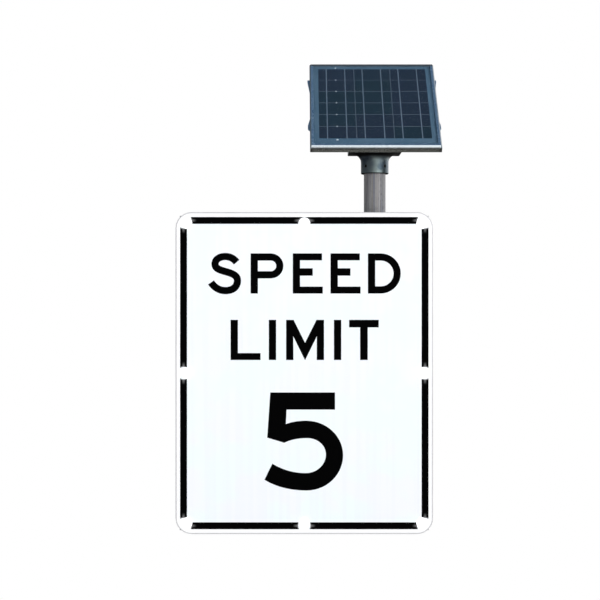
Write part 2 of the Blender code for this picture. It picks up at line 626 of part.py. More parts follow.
# ------------------------------------------------------------------ pole-top mount
def collar_profile():
    """Outside of the collar, rim to flange, heights below the flange's top."""
    rim = -COLLAR_DEPTH
    flare, rise = FLANGE_FILLET
    root = COLLAR_RADIUS + flare
    profile = [(COLLAR_RADIUS - 0.0012, rim), (COLLAR_RADIUS, rim + 0.0012)]
    profile += [(root + flare * x, -FLANGE_SHEET - rise + rise * z) for x, z in arc((0, 0), 1, 180, 90, 7)]
    return profile + [(root, -FLANGE_SHEET + 0.001)]


def build_mount_head():
    """Cast collar on the mast's top, held by four set screws, and the yoke bolted on it."""
    axis = empty("mount_head_axis", location=(MAST_X, MAST_Y, FLANGE_TOP))
    flange = prism(rounded(FLANGE_WIDTH, FLANGE_WIDTH, 0.004, 3), -FLANGE_SHEET, 0, "Z")
    collar = piece("mount_collar", flange, "casting", axis)
    join(collar, helper("collar_barrel", turned(collar_profile(), MAST_SIDES, "Z"), axis))
    turns = (45, 135, 225, 315)
    bore = turned([(CLAMP_RADIUS, -COLLAR_DEPTH - 0.004), (CLAMP_RADIUS, -0.012)], MAST_SIDES, "Z")
    cut(collar, helper("collar_bore", bore, axis))
    for number, turn in enumerate(turns, 1):
        drill = turned([(0.0041, 0.024), (0.0041, 0.042)], SMALL_SIDES, "X", centre=(0, -SET_SCREW_DEPTH))
        cut(collar, helper("set_screw_hole_" + str(number), drill, axis, rotation=(0, 0, turn)))
        profile = [(0.0036, MAST_RADIUS + GAP), (0.0036, SET_SCREW_END), (0.0019, SET_SCREW_END),
                   (0.0019, SET_SCREW_END - 0.0025)]
        screw = turned(profile, SMALL_SIDES, "X", centre=(0, -SET_SCREW_DEPTH))
        piece("set_screw_" + str(number), screw, "black_steel", axis, rotation=(0, 0, turn))
    build_yoke(axis, collar)
    return axis


def build_yoke(axis, collar):
    base_low, base_high = GAP, GAP + 0.005
    ear_inner, ear_outer = 0.036, 0.041
    base = prism(rounded(0.112, 0.112, 0.008, 3), base_low, base_high, "Z")
    yoke = piece("tilt_yoke", base, "casting", axis)
    outline = [(-0.024, base_low + 0.002), (0.024, base_low + 0.002)]
    outline += arc((0, PIVOT_HEIGHT), 0.015, 0, 180, 8)
    ears = [prism(outline, -ear_outer, -ear_inner, "X"), prism(outline, ear_inner, ear_outer, "X")]
    join(yoke, helper("yoke_ears", gather(ears), axis))
    pivot = [turned([(0.0044, -0.050), (0.0044, 0.050)], SMALL_SIDES, "X", centre=(0, PIVOT_HEIGHT))]
    cut(yoke, helper("yoke_pivot_hole", gather(pivot), axis))

    corners = [(name, x * YOKE_BOLT_OFFSET, y * YOKE_BOLT_OFFSET) for name, x, y in
               (("front_left", -1, -1), ("front_right", 1, -1), ("rear_right", 1, 1), ("rear_left", -1, 1))]
    reach = [(0.0034, -FLANGE_SHEET - 0.003), (0.0034, base_high + 0.003)]
    drills = [turned(reach, SMALL_SIDES, "Z", centre=(x, y)) for _, x, y in corners]
    holes = helper("yoke_bolt_holes", gather(drills), axis)
    cut(yoke, holes)
    cut(collar, holes)
    seat = base_high + GAP
    screw = [(0.0065, seat + 0.004), (0.0065, seat), (0.0031, seat), (0.0031, 0.0005 - FLANGE_SHEET)]
    for name, x, y in corners:
        piece("yoke_bolt_" + name, turned(screw, HEX, "Z"), "zinc", axis, (x, y, 0))
    for side, direction in (("left", -1), ("right", 1)):
        hex_bolt("pivot_bolt_" + side, axis, (0, 0, PIVOT_HEIGHT), "X", (0.0075, 0.005),
                 (0.0039, ear_inner - GAP, 0.0456 + GAP), (0.0075, 0.006), direction)


# ------------------------------------------------------------------ solar panel
def frame_profile():
    """Frame section, in from the outer edge and out from the rear plane."""
    return [(0, 0), (0, 0.0127), (0.0030, PANEL_DEPTH), (0.0090, PANEL_DEPTH), (0.0090, 0.0171),
            (0.0036, 0.0171), (0.0036, 0.0125), (0.0090, 0.0125), (0.0090, 0.0111), (0.0020, 0.0111),
            (0.0020, 0.0016), (0.0150, 0.0016), (0.0150, 0)]


def mitred_bar(length):
    """Frame member along X with both ends cut at 45 degrees; its outer edge is at Y = 0."""
    loops = []
    for end in (-1, 1):
        reach = length / 2 - MITRE_GAP
        loops.append([(end * (reach - inward), inward, out) for inward, out in frame_profile()])
    return skin(loops)


def build_panel(head):
    """Framed panel; its own Y runs up the slope and its Z out of the face."""
    pivot = empty("panel_pivot", head, (0, 0, PIVOT_HEIGHT), (PANEL_TILT, 0, 0))
    slope = PANEL_HIGH - PANEL_LOW
    middle = (PANEL_HIGH + PANEL_LOW) / 2
    half = PANEL_WIDTH / 2
    for name, length, place, turn in (("lower", PANEL_WIDTH, (0, PANEL_LOW), 0),
                                      ("right", slope, (half, middle), 90),
                                      ("upper", PANEL_WIDTH, (0, PANEL_HIGH), 180),
                                      ("left", slope, (-half, middle), 270)):
        piece("panel_frame_" + name, mitred_bar(length), "frame_blue", pivot,
              (place[0] + PANEL_SHIFT, place[1], PANEL_BACK), (0, 0, turn))

    edge = 0.0040
    glass_x = (PANEL_SHIFT + edge - half, PANEL_SHIFT + half - edge)
    glass_y = (PANEL_LOW + edge, PANEL_HIGH - edge)
    glass = block(glass_x, glass_y, (PANEL_BACK + 0.0137, PANEL_BACK + 0.0168))
    piece("panel_glass", glass, "glass", pivot)
    cells = block(glass_x, glass_y, (PANEL_BACK + 0.0128, PANEL_BACK + 0.0134))
    piece("cell_laminate", cells, "cells", pivot)

    box_centre = (PANEL_SHIFT, 0.126)
    box_outer = rounded(0.088, 0.052, 0.006, 2, box_centre)
    box_low = rounded(0.082, 0.046, 0.005, 2, box_centre)
    body = skin([level(box_low, 0.0235, "Z"), level(box_outer, 0.0265, "Z"), level(box_outer, 0.0410, "Z")])
    piece("junction_box", body, "black_plastic", pivot)
    build_bracket(pivot)


def bracket_outline():
    """Bow-tie plate: its four corners stand out past the frame's sides."""
    half = [(0.0440, -0.055), (0.1510, -0.055), (0.1585, -0.044), (0.1585, -0.030), (0.1494, 0.016),
            (0.1494, 0.065), (0.1590, 0.142), (0.1590, 0.150), (0.0620, 0.150), (0.0520, 0.086)]
    return [(PANEL_SHIFT + x, s) for x, s in half] + [(PANEL_SHIFT - x, s) for x, s in reversed(half)]


def build_bracket(pivot):
    plate_low, plate_high = PANEL_BACK - GAP - 0.0025, PANEL_BACK - GAP
    ear_inner, ear_outer = 0.0416, 0.0456
    bracket = piece("panel_bracket", prism(bracket_outline(), plate_low, plate_high, "Z"), "zinc", pivot)
    outline = [(0.022, plate_low + 0.001), (-0.022, plate_low + 0.001)] + arc((0, 0), 0.014, 180, 360, 8)
    ears = [prism(outline, -ear_outer, -ear_inner, "X"), prism(outline, ear_inner, ear_outer, "X")]
    join(bracket, helper("bracket_ears", gather(ears), pivot))
    window_z = (plate_low - 0.002, plate_high + 0.002)
    windows = [block(sorted((PANEL_SHIFT + side * 0.064, PANEL_SHIFT + side * 0.134)), span, window_z)
               for side in (-1, 1) for span in ((-0.040, 0.040), (0.056, 0.132))]
    windows.append(turned([(0.0044, -0.050), (0.0044, 0.050)], SMALL_SIDES, "X"))
    cut(bracket, helper("bracket_openings", gather(windows), pivot))


# ------------------------------------------------------------------ the whole sign
def clear_scene():
    for thing in list(bpy.data.objects):
        bpy.data.objects.remove(thing, do_unlink=True)


def main():
    clear_scene()
    build_face()
    build_lights()
    build_wireways()
    build_rails()
    build_post_plate()
    build_mast()
    build_mast_clamps()
    build_control_box()
    build_fittings()
    build_box_contents()
    build_door()
    build_controls()
    build_panel(build_mount_head())


main()
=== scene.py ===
"""Looks of the solar speed sign: printed face, border lights, metals, castings and the
solar panel's glass and cells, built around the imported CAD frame.

Metres, in the CAD's frame: X to the driver's right, Z up, the printed face looks along -Y.
Legend outlines are in millimetres from a letter's left end and baseline.
"""

from math import copysign, cos, pi, radians, sin, tan

import bmesh
import bpy
from mathutils import Matrix, Vector


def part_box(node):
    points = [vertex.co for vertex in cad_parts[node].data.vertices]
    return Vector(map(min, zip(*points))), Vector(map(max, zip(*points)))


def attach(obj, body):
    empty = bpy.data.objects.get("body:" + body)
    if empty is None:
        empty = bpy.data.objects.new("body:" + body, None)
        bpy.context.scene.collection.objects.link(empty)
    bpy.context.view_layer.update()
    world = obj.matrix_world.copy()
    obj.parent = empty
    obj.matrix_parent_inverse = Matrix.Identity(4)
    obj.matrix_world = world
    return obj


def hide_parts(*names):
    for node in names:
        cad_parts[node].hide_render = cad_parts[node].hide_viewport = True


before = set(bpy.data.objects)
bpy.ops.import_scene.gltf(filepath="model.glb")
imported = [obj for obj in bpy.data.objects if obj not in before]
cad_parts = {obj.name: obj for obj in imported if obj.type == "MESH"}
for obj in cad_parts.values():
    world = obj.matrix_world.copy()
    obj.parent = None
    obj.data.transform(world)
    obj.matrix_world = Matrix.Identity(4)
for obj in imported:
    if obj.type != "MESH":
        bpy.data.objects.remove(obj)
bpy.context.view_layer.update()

# -------- driving dimensions
MM = 0.001
HALF_WIDTH, HALF_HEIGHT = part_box("sign_panel")[1].x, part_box("sign_panel")[1].z
SIGN_CORNER = 0.0380
LIGHTS = sorted(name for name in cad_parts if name.startswith("led_"))

# Printed ink: the border's place and width, and the radii left unprinted beside the lights
INK_SHEET = 0.00012
INK_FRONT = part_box("reflective_sheeting")[0].y - 0.00016
BORDER_INSET = Vector((0.0109, 0.0116))
BORDER_WIDTH = 0.0163
BORDER_CORNER = 0.0260
BORDER_LINE = Vector((HALF_WIDTH, HALF_HEIGHT)) - BORDER_INSET - Vector((BORDER_WIDTH, BORDER_WIDTH)) / 2
CORNER_CLEARANCE, SIDE_CLEARANCE, TOP_CLEARANCE = 0.0182, 0.0144, 0.0136

# Letters, in millimetres: height, upright stroke, level stroke, and how far ink runs past the outline
CAP_HEIGHT = 94.0
STEM = 16.3
BAR = 15.4
INK_SPREAD = 0.5

# Solar panel, in its own frame: X across, Y up its slope and Z out of its face, from the pivot
PIVOT = (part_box("mast")[0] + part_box("mast")[1]) / 2
PIVOT.z = (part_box("pivot_bolt_left")[0].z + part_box("pivot_bolt_left")[1].z) / 2
PANEL_TILT = radians(45)
PANEL = Matrix.Translation(PIVOT) @ Matrix.Rotation(PANEL_TILT, 4, "X")
PANEL_LEFT, PANEL_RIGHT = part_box("panel_frame_left")[0].x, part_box("panel_frame_right")[1].x
PANEL_MIDDLE = (PANEL_LEFT + PANEL_RIGHT) / 2 - PIVOT.x
PANEL_HALF = (PANEL_RIGHT - PANEL_LEFT) / 2
PANEL_LOW, PANEL_HIGH = -0.132, 0.1938
FRAME_SHOULDER = 0.0408       # where the frame's outer side turns into its chamfer
LAMINATE_FRONT = 0.0419
CELL_HALF_X = 0.1330
CELL_LOW, CELL_HIGH = -0.0994, 0.1754
CELL_COLUMNS, CELL_ROWS = 3, 6


def border_break(name):
    """Middle and radius of the unprinted disc that breaks the border line beside a light."""
    low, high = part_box(name)
    if name == "led_top_middle":
        return 0.0, (low.z + high.z) / 2, TOP_CLEARANCE
    x = 0.0 if low.x * high.x < 0 else copysign(BORDER_LINE.x, low.x)
    z = 0.0 if low.z * high.z < 0 else copysign(BORDER_LINE.y, low.z)
    return x, z, CORNER_CLEARANCE if x and z else SIDE_CLEARANCE


BORDER_BREAKS = [border_break(name) for name in LIGHTS]


# -------- outlines
def arc(centre, radius, start, end, steps=12):
    """Points of a circle between two angles in degrees."""
    angles = [radians(start + (end - start) * i / steps) for i in range(steps + 1)]
    return [(centre[0] + radius * cos(a), centre[1] + radius * sin(a)) for a in angles]


def quarter(start, end, leaves_along):
    """Quarter ellipse from start to end, leaving along x or y; start is left out."""
    steps = 14
    points = []
    for i in range(1, steps + 1):
        angle = pi / 2 * i / steps
        ahead, across = sin(angle), 1 - cos(angle)
        along_x, along_y = (ahead, across) if leaves_along == "x" else (across, ahead)
        points.append((start[0] + (end[0] - start[0]) * along_x, start[1] + (end[1] - start[1]) * along_y))
    return points


def bend(start, lead, trail, end):
    """Bezier stretch between two points; start is left out."""
    steps = 12
    points = []
    for i in range(1, steps + 1):
        t = i / steps
        weights = ((1 - t) ** 3, 3 * t * (1 - t) ** 2, 3 * t * t * (1 - t), t ** 3)
        points.append(tuple(sum(w * p[axis] for w, p in zip(weights, (start, lead, trail, end)))
                            for axis in (0, 1)))
    return points


def rectangle(x0, x1, y0, y1):
    return [(x0, y0), (x1, y0), (x1, y1), (x0, y1)]


def rounded(half_x, half_y, radius):
    """Rectangle about the middle with round corners."""
    points = []
    for i, (side_x, side_y) in enumerate([(1, 1), (-1, 1), (-1, -1), (1, -1)]):
        corner = (side_x * (half_x - radius), side_y * (half_y - radius))
        points += arc(corner, radius, 90 * i, 90 * (i + 1), 10)
    return points


def ribbon(centreline, width):
    """Outline of a stroke of even width along a line of points."""
    left, right = [], []
    for i, point in enumerate(centreline):
        before, after = centreline[max(i - 1, 0)], centreline[min(i + 1, len(centreline) - 1)]
        along = Vector((after[0] - before[0], after[1] - before[1])).normalized()
        across = Vector((-along.y, along.x)) * width / 2
        left.append((point[0] + across.x, point[1] + across.y))
        right.append((point[0] - across.x, point[1] - across.y))
    return left + right[::-1]


def spread(loop, amount):
    """The same outline with every side moved out by the given amount, or in if it is negative."""
    area = sum(a[0] * b[1] - b[0] * a[1] for a, b in zip(loop, loop[1:] + loop[:1]))
    turn = amount if area > 0 else -amount
    points = [Vector(point) for point, before in zip(loop, loop[-1:] + loop[:-1])
              if (Vector(point) - Vector(before)).length > 0.001]
    moved = []
    for i, point in enumerate(points):
        arriving = (point - points[i - 1]).normalized()
        leaving = (points[(i + 1) % len(points)] - point).normalized()
        outward = Vector((arriving.y + leaving.y, -arriving.x - leaving.x))
        moved.append(tuple(point + outward * (2 * turn / max(outward.length_squared, 0.8))))
    return moved


# -------- letters: outer outline first, then any eye
def letter_s():
    line = [(66.6, 74.0)]
    line += bend(line[-1], (60.5, 81.8), (52.0, 87.1), (40.2, 87.1))
    line += bend(line[-1], (25.6, 87.1), (15.9, 79.6), (15.9, 69.6))
    line += bend(line[-1], (15.9, 59.0), (25.5, 55.6), (40.2, 51.6))
    line += bend(line[-1], (58.0, 46.4), (68.9, 42.5), (68.9, 30.2))
    line += bend(line[-1], (68.9, 15.0), (57.5, 6.4), (40.9, 6.4))
    line += bend(line[-1], (26.0, 6.4), (14.6, 13.4), (6.6, 25.4))
    return [ribbon(line, 16.1)]


def letter_p():
    centre, outer, inner = (47.6, CAP_HEIGHT - 29.1), 29.1, 13.1
    shell = [(0, 0), (STEM, 0), (STEM, centre[1] - outer)] + arc(centre, outer, -90, 90) + [(0, CAP_HEIGHT)]
    eye = [(STEM, centre[1] - inner)] + arc(centre, inner, -90, 90) + [(STEM, centre[1] + inner)]
    return [shell, eye]


def letter_e():
    middle_low, middle_high, middle_reach = 42.2, 58.7, 46.2
    return [[(0, 0), (70, 0), (70, BAR), (STEM, BAR), (STEM, middle_low), (middle_reach, middle_low),
             (middle_reach, middle_high), (STEM, middle_high), (STEM, CAP_HEIGHT - BAR),
             (68.2, CAP_HEIGHT - BAR), (68.2, CAP_HEIGHT), (0, CAP_HEIGHT)]]


def letter_d():
    centre, outer, inner = (29.8, CAP_HEIGHT / 2), CAP_HEIGHT / 2, 31.0
    shell = [(0, 0)] + arc(centre, outer, -90, 90, 18) + [(0, CAP_HEIGHT)]
    eye = [(STEM, centre[1] - inner)] + arc(centre, inner, -90, 90, 18) + [(STEM, centre[1] + inner)]
    return [shell, eye]


def letter_l():
    return [[(0, 0), (69.8, 0), (69.8, BAR), (STEM, BAR), (STEM, CAP_HEIGHT), (0, CAP_HEIGHT)]]


def letter_i():
    return [rectangle(0, STEM, 0, CAP_HEIGHT)]


def letter_m():
    width, flat, valley, notch = 88.7, 17.0, 38.8, 56.3
    half = [(0, 0), (STEM, 0), (STEM, notch), (width / 2, 0)]
    half_back = [(width / 2, valley), (flat, CAP_HEIGHT), (0, CAP_HEIGHT)]
    mirrored = [(width - x, y) for x, y in half[-2::-1]]
    mirrored_back = [(width - x, y) for x, y in half_back[:0:-1]]
    return [half + mirrored + mirrored_back + half_back]


def letter_t():
    width, stem, bar = 69.1, 17.0, 16.8
    left, right, under = (width - stem) / 2, (width + stem) / 2, CAP_HEIGHT - bar
    return [[(left, 0), (right, 0), (right, under), (width, under), (width, CAP_HEIGHT),
             (0, CAP_HEIGHT), (0, under), (left, under)]]


def digit_five():
    """The numeral, measured from the sign's centre."""
    top, shelf = -46.3, -85.9
    line = [(-80.0, top), (72.2, top), (72.2, shelf), (-42.5, shelf), (-44.1, -121.3)]
    line += bend(line[-1], (-31.0, -116.0), (-14.0, -113.1), (4.4, -113.1))
    line += quarter(line[-1], (91.3, -194.3), "x")
    line += quarter(line[-1], (5.4, -277.3), "y")
    line += bend(line[-1], (-34.0, -277.0), (-66.0, -268.9), (-93.7, -252.2))
    line += [(-75.5, -215.0)]
    line += bend(line[-1], (-52.0, -229.0), (-26.0, -237.1), (3.6, -237.1))
    line += quarter(line[-1], (51.6, -192.2), "x")
    line += quarter(line[-1], (7.4, -153.3), "y")
    line += bend(line[-1], (-14.0, -153.3), (-33.0, -157.0), (-47.6, -164.4))
    return [line + [(-87.3, -152.3)]]


# -------- materials
def adjusted(thing, settings):
    """The same thing, with its settings given by name."""
    for setting, value in settings.items():
        setattr(thing, setting, value)
    return thing


def scaled(colour, factor):
    return tuple(channel * factor for channel in colour)


class Nodes:
    """A node tree being filled. A value is a number, a colour or another node's socket."""

    def __init__(self, tree):
        self.tree = tree

    def put(self, value, socket):
        if isinstance(value, bpy.types.NodeSocket):
            self.tree.links.new(value, socket)
        elif isinstance(value, tuple) and len(value) == 3 and socket.type == "RGBA":
            socket.default_value = (*value, 1.0)
        else:
            socket.default_value = value

    def node(self, kind, **options):
        return adjusted(self.tree.nodes.new("ShaderNode" + kind), options)

    def feed(self, kind, values, output=0, **options):
        """One output of a new node whose inputs are given by name or number."""
        made = self.node(kind, **options)
        for socket, value in values.items():
            self.put(value, made.inputs[socket])
        return made.outputs[output]

    def math(self, operation, first, second=0.0):
        return self.feed("Math", {0: first, 1: second}, operation=operation)

    def plus(self, first, second):
        return self.math("ADD", first, second)

    def minus(self, first, second):
        return self.math("SUBTRACT", first, second)

    def times(self, first, second):
        return self.math("MULTIPLY", first, second)

    def larger(self, first, second):
        return self.math("MAXIMUM", first, second)

    def smaller(self, first, second):
        return self.math("MINIMUM", first, second)

    def magnitude(self, value):
        return self.math("ABSOLUTE", value)

    def length(self, first, second):
        """Length of the diagonal over two sides."""
        return self.math("SQRT", self.plus(self.times(first, first), self.times(second, second)))

    def fade(self, value, start, end, low=0.0, high=1.0, curve="SMOOTHSTEP"):
        """Runs from low to high as the value goes from start to end."""
        return self.feed("MapRange", {0: value, 1: start, 2: end, 3: low, 4: high},
                         interpolation_type=curve)

    def mix(self, share, first, second):
        return self.feed("Mix", {0: share, 6: first, 7: second}, 2, data_type="RGBA")

    def blend(self, value, start, end, first, second, share=1.0):
        """First tone, turning into a share of the second as the value goes from start to end."""
        return self.mix(self.fade(value, start, end, 0.0, share), first, second)

    def axes(self, place):
        made = self.node("SeparateXYZ")
        self.put(place, made.inputs[0])
        return made.outputs

    def ramp(self, value, stops):
        made = self.node("ValToRGB")
        self.put(value, made.inputs[0])
        points = made.color_ramp.elements
        while len(points) < len(stops):
            points.new(0.5)
        for point, (position, colour) in zip(points, stops):
            point.position = position
            point.color = (*colour, 1.0)
        return made.outputs[0]


class Paint(Nodes):
    """One procedural material; values come from its nodes, in its piece's own coordinates."""

    def __init__(self, name, colour, finish=None):
        self.material = bpy.data.materials.new(name)
        self.material.use_nodes = True
        super().__init__(self.material.node_tree)
        self.shader = self.tree.nodes["Principled BSDF"]
        self.relief = None
        self.set("Base Color", colour)
        for socket, value in (finish or {}).items():
            self.set(socket, value)

    def set(self, socket, value):
        self.put(value, self.shader.inputs[socket])

    def place(self, stretch=(1, 1, 1), origin=None, turn=(0, 0, 0)):
        """The piece's own coordinates, seen from an origin and turn if one is given, then stretched."""
        source = self.node("TexCoord").outputs["Object"]
        if origin:
            source = self.feed("Mapping", {"Vector": source, "Location": origin, "Rotation": turn},
                               vector_type="TEXTURE")
        if stretch != (1, 1, 1):
            source = self.feed("Mapping", {"Vector": source, "Scale": stretch})
        return source

    def noise(self, scale, detail=3.0, place=None, roughness=0.5):
        return self.feed("TexNoise", {"Vector": place or self.place(), "Scale": scale, "Detail": detail,
                                      "Roughness": roughness})

    def grains(self, scale, place=None, feature="F1", output="Color"):
        return self.feed("TexVoronoi", {"Vector": place or self.place(), "Scale": scale}, output,
                         feature=feature)

    def inset(self, half_x, half_z, corner):
        """How far in from the edge of an upright rounded rectangle a point lies."""
        axes = self.axes(self.place())
        over_x = self.minus(self.magnitude(axes[0]), half_x - corner)
        over_z = self.minus(self.magnitude(axes[2]), half_z - corner)
        rounding = self.length(self.larger(over_x, 0.0), self.larger(over_z, 0.0))
        straight = self.smaller(self.larger(over_x, over_z), 0.0)
        return self.minus(corner, self.plus(rounding, straight))

    def finish(self, tone, roughness, *reliefs):
        """Sets colour, roughness and each relief: what gives the height, how deep and how strong."""
        self.set("Base Color", tone)
        self.set("Roughness", roughness)
        for relief in reliefs:
            self.bump(*relief)
        return self

    def bump(self, height, distance, strength):
        """Adds a relief to any that the material has already."""
        values = {"Strength": strength, "Distance": distance, "Height": height}
        if self.relief is not None:
            values["Normal"] = self.relief
        self.relief = self.feed("Bump", values)
        self.set("Normal", self.relief)


def sheeting_paint():
    """White prismatic sheeting: a fine diamond lattice, faint upright bands, and a painted grey shadow line
    along its edge.
    """
    paint = Paint("white_sheeting", (0.9, 0.9, 0.9), {"Specular IOR Level": 0.35, "Coat Weight": 0.15,
                                                     "Coat Roughness": 0.12})
    axes = paint.axes(paint.place())
    pitch, line_width = 0.0040, 0.00035
    lines = []
    for way in (1.0, -1.0):
        slant = paint.plus(axes[0], paint.times(axes[2], way))
        ripple = paint.math("PINGPONG", slant, pitch / 2)
        lines.append(paint.fade(ripple, 0.0, line_width, 1.0, 0.0))
    lattice = paint.larger(*lines)
    bands = paint.noise(75.0, 2.0, paint.place((1, 1, 0.02)))
    clouds = paint.noise(11.0, 2.0)
    tone = paint.blend(clouds, 0.38, 0.62, (0.885, 0.960, 0.965), (0.915, 0.930, 0.985))
    tone = paint.blend(bands, 0.42, 0.62, tone, (0.860, 0.890, 0.930), 0.35)
    tone = paint.mix(paint.times(lattice, 0.14), tone, (0.80, 0.83, 0.86))
    depth = paint.inset(HALF_WIDTH, HALF_HEIGHT, SIGN_CORNER)
    outer_band = paint.fade(depth, BORDER_INSET.x, BORDER_INSET.x + 0.004, 1.0, 0.0)
    tone = paint.mix(outer_band, tone, (0.975, 0.980, 0.985))
    # Painted shadow: a thin grey line along the sheet's edge.
    edge_shadow_line = paint.fade(depth, 0.0024, 0.0038, 1.0, 0.0)
    tone = paint.mix(edge_shadow_line, tone, (0.63, 0.62, 0.635))
    return paint.finish(tone, paint.fade(clouds, 0.3, 0.7, 0.30, 0.42), (lattice, 0.00004, 0.35))


def ink_paint():
    """Opaque black ink with painted light from the border lights: grey along the border's middle beside
    each light, and a grey ring at the edge of each light's clearance.
    """
    paint = Paint("black_ink", (0.0033, 0.0033, 0.0033), {"Specular IOR Level": 0.01})
    axes = paint.axes(paint.place())
    nearest = None
    for x, z, clearance in BORDER_BREAKS:
        distance = paint.minus(paint.length(paint.minus(axes[0], x), paint.minus(axes[2], z)), clearance)
        nearest = distance if nearest is None else paint.smaller(nearest, distance)
    off_line = paint.smaller(paint.magnitude(paint.minus(paint.magnitude(axes[0]), BORDER_LINE.x)),
                             paint.magnitude(paint.minus(paint.magnitude(axes[2]), BORDER_LINE.y)))
    # Painted light: the border lights' glow, grey along the line's middle and in a ring round each
    # clearance.
    lamp_glow_streak = paint.times(paint.fade(nearest, 0.0, 0.0135, 1.0, 0.0),
                         paint.fade(off_line, 0.0002, 0.0048, 1.0, 0.0))
    rim = paint.fade(nearest, 0.0, 0.0030, 1.0, 0.0)
    grain = paint.noise(900.0, 2.0)
    ink = paint.blend(grain, 0.3, 0.7, (0.0005, 0.0005, 0.0006), (0.0012, 0.0012, 0.0013))
    ink = paint.mix(lamp_glow_streak, ink, (0.150, 0.150, 0.152))
    return paint.finish(paint.mix(rim, ink, (0.30, 0.30, 0.305)), paint.fade(grain, 0.3, 0.7, 0.45, 0.6),
                        (grain, 0.00002, 0.3))


def lens_paint():
    """Clear moulded dome that glows white, a little unevenly."""
    paint = Paint("lit_lens", (0.8, 0.82, 0.84), {"Roughness": 0.12, "Coat Weight": 0.4,
                                                 "Emission Color": (1, 1, 1)})
    grain = paint.noise(240.0, 1.0)
    facets = paint.grains(420.0, feature="DISTANCE_TO_EDGE", output="Distance")
    paint.set("Emission Strength", paint.fade(grain, 0.30, 0.52, 0.78, 1.15))
    paint.bump(facets, 0.0002, 0.25)
    return paint


def brushed_paint(name, colour, along, roughness=0.38):
    """Mill-finish aluminium with rolling lines along one axis and cloudy handling marks."""
    paint = Paint(name, colour, {"Metallic": 0.85})
    stretch = {"X": (0.01, 1, 1), "Y": (1, 0.01, 1), "Z": (1, 1, 0.01)}[along]
    lines = paint.noise(1500.0, 3.0, paint.place(stretch))
    clouds = paint.noise(22.0, 4.0)
    marks = paint.noise(160.0, 5.0, roughness=0.7)
    dark = scaled(colour, 0.78)
    tone = paint.blend(lines, 0.35, 0.65, dark, scaled(colour, 1.12))
    tone = paint.blend(clouds, 0.35, 0.7, tone, dark, 0.35)
    tone = paint.blend(marks, 0.60, 0.72, tone, (0.30, 0.30, 0.30), 0.35)
    return paint.finish(tone, paint.fade(lines, 0.3, 0.7, roughness - 0.06, roughness + 0.06),
                        (lines, 0.00003, 0.35))


def galvanised_paint():
    """Hot-dip zinc: flat crystals of slightly different greys over a dull, streaked skin."""
    paint = Paint("galvanised_steel", (0.4, 0.4, 0.4), {"Metallic": 0.75})
    spangle = 95.0
    crystals = paint.axes(paint.grains(spangle))
    fine = paint.axes(paint.grains(spangle * 2.7))
    clouds = paint.noise(14.0, 4.0)
    spots = paint.noise(420.0, 4.0, roughness=0.7)
    tone = paint.ramp(crystals[0], [(0.0, (0.26, 0.27, 0.285)), (0.5, (0.36, 0.37, 0.385)),
                                    (1.0, (0.50, 0.51, 0.52))])
    tone = paint.mix(paint.times(fine[1], 0.35), tone, (0.46, 0.465, 0.47))
    tone = paint.blend(clouds, 0.45, 0.75, tone, (0.58, 0.585, 0.58), 0.45)
    tone = paint.blend(spots, 0.62, 0.75, tone, (0.16, 0.155, 0.15), 0.4)
    return paint.finish(tone, paint.plus(paint.times(crystals[2], 0.16), 0.36),
                        (crystals[1], 0.00006, 0.25), (spots, 0.00005, 0.3))


def mast_paint():
    """Galvanised tube with dark blotches and upright streaks of blue, beige and violet grey."""
    paint = Paint("galvanised_tube", (0.3, 0.3, 0.3), {"Metallic": 0.2})
    upright = paint.place((1, 1, 0.012))
    wide = paint.noise(165.0, 1.0, upright)
    narrow = paint.noise(620.0, 2.0, upright)
    blotches = paint.noise(240.0, 3.0, paint.place((1, 1, 0.4)), roughness=0.6)
    tone = paint.ramp(wide, [(0.32, (0.105, 0.120, 0.165)), (0.42, (0.200, 0.190, 0.175)),
                             (0.49, (0.100, 0.094, 0.115)), (0.56, (0.250, 0.250, 0.250)),
                             (0.62, (0.160, 0.155, 0.150)), (0.70, (0.240, 0.250, 0.305))])
    tone = paint.blend(narrow, 0.35, 0.65, tone, (0.21, 0.21, 0.22), 0.30)
    tone = paint.blend(blotches, 0.52, 0.68, tone, (0.075, 0.075, 0.085), 0.45)
    return paint.finish(tone, paint.fade(narrow, 0.3, 0.7, 0.36, 0.52),
                        (narrow, 0.00005, 0.3), (blotches, 0.00005, 0.2))


def casting_paint(name, dark, light, dark_heights=None):
    """Sand-cast metal under a thin dark coat: pitted skin, cloudy patches, rubbed high spots.

    Dark heights, if given, are a lower rim and an underside: the skin is painted near black below the
    underside as shade, and darker along the lower rim.
    """
    paint = Paint(name, dark, {"Metallic": 0.85, "Specular IOR Level": 0.15})
    skin = paint.noise(700.0, 5.0, roughness=0.6)
    pits = paint.grains(900.0, output="Distance")
    patches = paint.noise(28.0, 3.0)
    tint = paint.noise(17.0, 2.0, paint.place((1, 1, 0.6)))
    tone = paint.blend(patches, 0.38, 0.62, dark, light)
    tone = paint.blend(tint, 0.40, 0.60, tone, (dark[0] * 0.9, dark[1] * 1.0, dark[2] * 1.55), 0.55)
    tone = paint.blend(skin, 0.60, 0.75, tone, scaled(light, 1.5), 0.5)
    roughness = paint.fade(patches, 0.3, 0.7, 0.32, 0.44)
    if dark_heights:
        height = paint.axes(paint.place())[2]
        bottom, underside = dark_heights
        # Painted shade: near black below the underside, where the flange shades the skin.
        underside_shade = paint.times(paint.fade(height, underside - 0.0180, underside - 0.0060),
                               paint.math("LESS_THAN", height, underside + 0.0010))
        # Darker along the lower rim.
        dark_rim_line = paint.fade(height, bottom + 0.0008, bottom + 0.0026, 1.0, 0.0)
        shade_and_rim_line = paint.larger(underside_shade, dark_rim_line)
        tone = paint.mix(shade_and_rim_line, tone, (0.0010, 0.0011, 0.0013))
        paint.set("Metallic", paint.times(paint.minus(1.0, shade_and_rim_line), 0.85))
        roughness = paint.larger(roughness, paint.times(shade_and_rim_line, 0.95))
    return paint.finish(tone, roughness, (skin, 0.00025, 0.35), (pits, 0.00012, 0.25))


